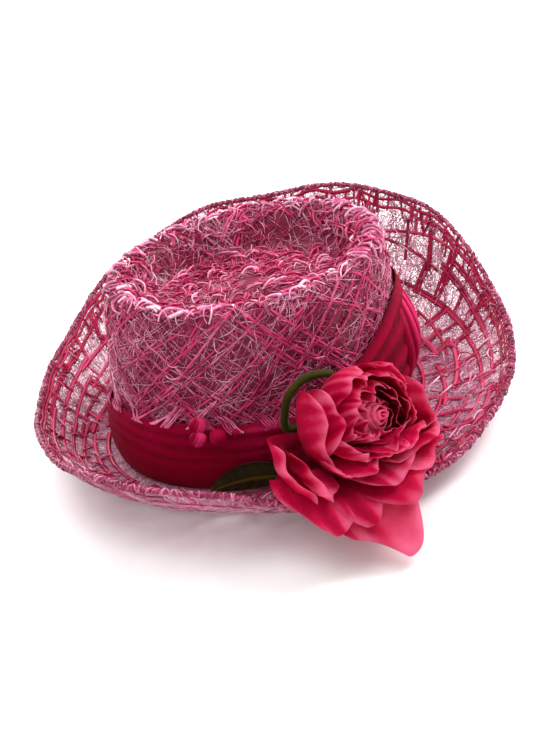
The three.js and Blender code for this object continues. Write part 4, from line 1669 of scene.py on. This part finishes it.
@dataclass
class Rose:
    """The folded organza rose with its stem and leaf."""

    form: HatForm
    finishes: Finishes
    random: np.random.Generator
    rows: int = 24
    columns: int = 60
    wall: float = 0.00025
    stem_radius: float = 2.7
    stem_sides: int = 24
    leaf_angle: float = 102.0
    leaf_length: float = 50.0
    leaf_width: float = 17.0
    leaf_out: float = 4.7
    leaf_drop: float = 0.08 * 18.0
    leaf_wall: float = 0.0005

    def petal(self, name: str, row: Sequence[float], layer: float) -> Object:
        """One petal: its skin, with folds and crinkles along it and a ragged, rolled lip."""
        along, across = grid(np.linspace(0, 1, self.rows), np.linspace(-1, 1, self.columns))
        span = row[1] / 110
        ragged = 0.5 + 0.5 * self.waves(across, 4, (2 * span, 9 * span))
        along = along * (1 - 0.08 * ragged * along**2)
        skin = Skin(lambda u, v: self.form.petal(row, layer, u, v), 0, 1, (0.004, 0.008))
        _, _, _, normal = skin.frame(np.clip(along, 0.01, 0.99), np.clip(across, -0.985, 0.985))
        bent = across + 0.05 * self.waves(along, 3, (2, 9))
        fold = self.waves(bent, 3, (1.5 * span, 3.2 * span))
        ruffle = self.waves(bent, 3, (3.5 * span, 7 * span))
        crinkle = self.waves(bent, 6, (12 * span, 26 * span))
        size = 0.6 + 0.75 * row[3]
        out = size * (1.9 * along**1.4 * fold + 1.0 * along**1.7 * ruffle + 0.3 * along * crinkle)
        points = self.form.petal(row, layer, along, across) + normal * out[..., None]
        points[..., 2] = np.maximum(points[..., 2], 0.8)
        piece = grid_mesh(name, self.form.in_row(points))
        # Painted shade towards the root and in the ruffles' hollows, painted light on their crests, and a
        # painted highlight along the lip.
        lip = 0.35 * ease((along / along.max(axis=0) - 0.93) / 0.07)
        shade = 0.12 + 0.4 * along**0.8 + (0.18 * ruffle + 0.14 * crinkle) * along
        store(piece, "fold", np.clip(shade + lip, 0, 1))
        return thicken(piece, self.wall)

    def waves(self, place: Array, count: int, span: Pair) -> Array:
        """Random soft waves along a coordinate, about from -1 to 1. span is in radians a unit."""
        turns = self.random.uniform(*span, count)
        phases = self.random.uniform(0, 2 * np.pi, count)
        total = sum(np.sin(place * turn + phase) for turn, phase in zip(turns, phases))
        return np.clip(total / math.sqrt(count), -1.3, 1.3)

    @staticmethod
    def petal_cut(obj: Object) -> Pair:
        """The cut size of a petal, a little longer than wide."""
        width, length = cut(obj, 1.0)
        return (math.sqrt(width * length / 1.2), math.sqrt(width * length * 1.2))

    def heart(self) -> Object:
        """The wound strip in the middle of the rose."""
        middle, look, side, up = self.form.rose_axes()
        height, around = grid(np.linspace(0, 1, 16), np.linspace(0, 1, 240))
        turn = around * 2 * np.pi * 4.2
        foot, length, radius = -13.0, 19.0, 16.0
        belly = np.sin(np.pi * np.clip(height * 0.8 + 0.1, 0, 1)) ** 0.7
        ruffle = self.waves(turn, 4, (1.2, 2.6))
        crinkle = self.waves(turn, 5, (5.0, 10.0))
        reach = (1.2 + (radius - 1.2) * around) * (0.3 + 0.7 * belly)
        reach = reach + (0.6 * around + 0.4) * ruffle * height**1.5 + 0.25 * crinkle * height
        ahead = foot + (length - foot) * height * (1 - 0.3 * around**2)
        ahead = ahead + (0.6 + 0.6 * around) * ruffle * height
        points = (
            middle
            + ahead[..., None] * look
            + (reach * np.cos(turn))[..., None] * up
            + (reach * np.sin(turn))[..., None] * side
        )
        piece = grid_mesh("rose_swirl", self.form.in_row(points))
        # Painted shade deep in the swirl and painted light towards its top.
        store(piece, "fold", np.clip(0.1 + 0.8 * height**1.5, 0, 1))
        return thicken(piece, self.wall)

    def stem(self) -> Object:
        """The bent satin rouleau, with its seam and a rounded free end."""
        middle, look, _, _ = self.form.rose_axes()
        outer = self.form.rose_root + (len(PETALS) - 1) * self.form.petal_pitch + 0.55
        root = middle - look * (outer + 2.8 + self.form.clearance)
        knots = np.array([*STEM_LINE, tuple(root + np.array([0, 8, 8])), tuple(root)])
        line = self.smooth(knots, 90)
        tangent = unit(np.gradient(line, axis=0))
        side = unit(np.cross(tangent, [0.0, 0.0, 1.0]) + 1e-6)
        for index in range(1, len(side)):
            turned = side[index - 1] - tangent[index] * np.dot(side[index - 1], tangent[index])
            side[index] = unit(turned)
        over = np.cross(tangent, side)
        way = np.linspace(0, 1, len(line))
        end = np.sqrt(np.clip(1 - np.clip(1 - way / 0.03, 0, 1) ** 2, 0.001, 1))
        rings = []
        for angle in ring(self.stem_sides):
            seam = 1 - 0.1 * math.exp(-(((angle - 2.2) / 0.28) ** 2))
            radius = (self.stem_radius * seam * end)[:, None]
            rings.append(line + radius * (side * math.cos(angle) + over * math.sin(angle)))
        piece = grid_mesh("stem_rouleau", self.form.in_row(np.stack(rings, 1)), closed=True)
        store(piece, "fold", np.full((len(way), self.stem_sides), 0.5))
        return piece

    @staticmethod
    def smooth(knots: Array, count: int) -> Array:
        """A smooth line through points."""
        padded = np.concatenate([[2 * knots[0] - knots[1]], knots, [2 * knots[-1] - knots[-2]]])
        spans = len(knots) - 1
        at = np.linspace(0, spans - 1e-6, count)
        k = at.astype(int)
        t = (at - k)[:, None]
        a, b, c, d = padded[k], padded[k + 1], padded[k + 2], padded[k + 3]
        bend = 2 * a - 5 * b + 4 * c - d
        twist = 3 * b - a - 3 * c + d
        return 0.5 * (2 * b + (c - a) * t + bend * t**2 + twist * t**3)

    def leaf(self) -> Object:
        """The satin leaf, creased along its middle vein."""
        along, across = grid(np.linspace(0, 1, 60), np.linspace(0, 1, 25))
        half_turn = self.leaf_length / (self.form.head_long / 2) * 28
        degrees = self.leaf_angle + half_turn * (1 - 2 * along)
        width = self.leaf_width * np.sin(np.pi * np.clip(along * 0.9 + 0.04, 0, 1)) ** 0.7
        out = self.form.band_ease + self.form.band_wall + self.form.band_full + self.leaf_out
        level = np.full(along.shape, self.form.crown_foot + 6)
        place = self.form.off_crown(level, degrees, np.full(along.shape, out))
        wide, long = np.array(self.form.head_wide), np.array(self.form.head_long)
        outward = unit(self.form.oval(wide, long, degrees, np.array(0.0)))
        high = across * width
        vein = np.exp(-(((across - 0.5) / 0.06) ** 2))
        ribs = np.sin(along * 46 + np.abs(across - 0.5) * 9) * np.abs(across - 0.5)
        push = 2 - 0.25 * high + 1.5 * np.cos(np.pi * (2 * across - 1)) - 0.5 * vein + 0.25 * ribs
        place = place + outward * push[..., None]
        place[..., 2] += high - self.leaf_drop
        piece = grid_mesh("leaf_satin", self.form.in_row(place))
        # Painted light along the vein and towards the lower edge, and painted light and shade across the
        # ribs.
        store(piece, "fold", np.clip(0.35 + 0.5 * vein + 0.3 * ribs + 0.3 * (1 - across), 0, 1))
        return thicken(piece, self.leaf_wall)

    def build(self) -> None:
        """Builds and dresses the rose."""
        organza = self.finishes.organza
        heart = seat(self.heart(), organza, ["rose_heart"])
        for index, row in enumerate(PETALS):
            piece = self.petal(f"rose_petal_cloth_{index + 1:02d}", row, index)
            seat(piece, organza, [f"rose_petal_{index + 1:02d}"])
        for index, (layer, *row) in enumerate(RUFFLES):
            piece = self.petal(f"rose_ruffle_{index + 1:02d}", row, layer)
            seat(piece, organza)
        seat(self.stem(), self.finishes.stem, ["rose_stem"])
        leaf = seat(self.leaf(), self.finishes.leaf, ["rose_leaf"])


# The studio


@dataclass(frozen=True)
class Studio:
    """A pale floor, soft lights and the photograph's camera."""

    form: HatForm
    focus: float = 1130.0
    long_side: float = 733.0

    def camera(self) -> None:
        """Places the camera at the photograph's eye."""
        eye = self.form.in_row(np.array([-642.3, 42.7, 444.5]))
        right = unit(np.array([-0.181, -0.965, -0.19]))
        back = unit(np.array([-0.851, 0.057, 0.522]))
        up = unit(np.cross(back, right))
        right = np.cross(up, back)
        aside, below = 275.0 - 249.9, 366.5 - 347.6
        ahead = unit(-back * self.focus + right * aside - up * below)
        up = unit(up - ahead * np.dot(up, ahead))
        right = np.cross(ahead, up)
        data = bpy.data.cameras.new("photo_camera")
        data.sensor_width = 36.0
        data.lens = 36.0 * self.focus / self.long_side
        data.clip_start = 0.01
        camera = added("photo_camera", data)
        turned = Matrix((right, up, -ahead)).transposed().to_4x4()
        camera.matrix_world = Matrix.Translation(Vector(eye)) @ turned
        bpy.context.scene.camera = camera

    def floor(self) -> None:
        """A wide pale floor."""
        size = 30.0
        mesh = bpy.data.meshes.new("floor")
        corners = [(-size, -size, 0), (size, -size, 0), (size, size, 0), (-size, size, 0)]
        mesh.from_pydata(corners, [], [(0, 1, 2, 3)])
        floor = added("floor", mesh)
        paint = Paint("pale_floor")
        paint.set({"Base Color": linear("f2f1f0"), "Roughness": 0.9})
        mesh.materials.append(paint.material)

    def light(self, name: str, place: tuple[float, float, float], size: float, power: float) -> None:
        """A square soft light that looks at the hat."""
        data = bpy.data.lights.new(name, "AREA")
        data.size = size
        data.energy = power
        lamp = added(name, data)
        away = Vector(place) - Vector((0, 0, 0.05))
        lamp.location = place
        lamp.rotation_euler = away.to_track_quat("Z", "Y").to_euler()

    def build(self) -> None:
        """Sets up the studio."""
        self.camera()
        self.floor()
        world = bpy.data.worlds.new("studio")
        world.use_nodes = True
        world.node_tree.nodes["Background"].inputs[0].default_value = (1, 1, 1, 1)
        world.node_tree.nodes["Background"].inputs[1].default_value = 0.85
        bpy.context.scene.world = world
        bpy.context.scene.view_settings.view_transform = "Standard"
        self.light("window", (0.2, -1.1, 1.2), 0.7, 25.0)
        self.light("top", (0.0, 0.3, 1.6), 1.0, 12.0)
        self.light("far_side", (1.3, 0.3, 0.6), 0.8, 18.0)


def main() -> None:
    """Builds the hat piece by piece round its solids."""
    logging.basicConfig(level=logging.INFO, format="%(name)s %(message)s")
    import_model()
    low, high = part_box("crown")
    foot = HatForm((0.0, 0.0, 0.0))
    tall = foot.crown(np.linspace(0, 17, 171)[:, None], np.arange(0.0, 360.0, 9.0)[None, :])
    middle_x = (low[0] + high[0]) / 2 / MM - (tall[..., 0].max() + tall[..., 0].min()) / 2
    middle_y = (low[1] + high[1]) / 2 / MM - (tall[..., 1].max() + tall[..., 1].min()) / 2
    form = HatForm((middle_x, middle_y, 0.0))
    LOG.info("the hat's middle is at %.3f, %.3f mm", middle_x, middle_y)
    finishes = Finishes.make()
    strand, loops = strand_tree(), loop_tree()
    Crown(form, finishes, strand, loops, np.random.default_rng(41)).build()
    Brim(form, finishes, strand, loops, np.random.default_rng(42)).build()
    Band(form, finishes).build()
    Rose(form, finishes, np.random.default_rng(43)).build()
    Studio(form).build()
    shown = [o for o in bpy.context.scene.objects if o.type == "MESH"]
    LOG.info("%d triangles in all", sum(len(p.vertices) - 2 for o in shown for p in o.data.polygons))


if __name__ == "__main__":
    main()
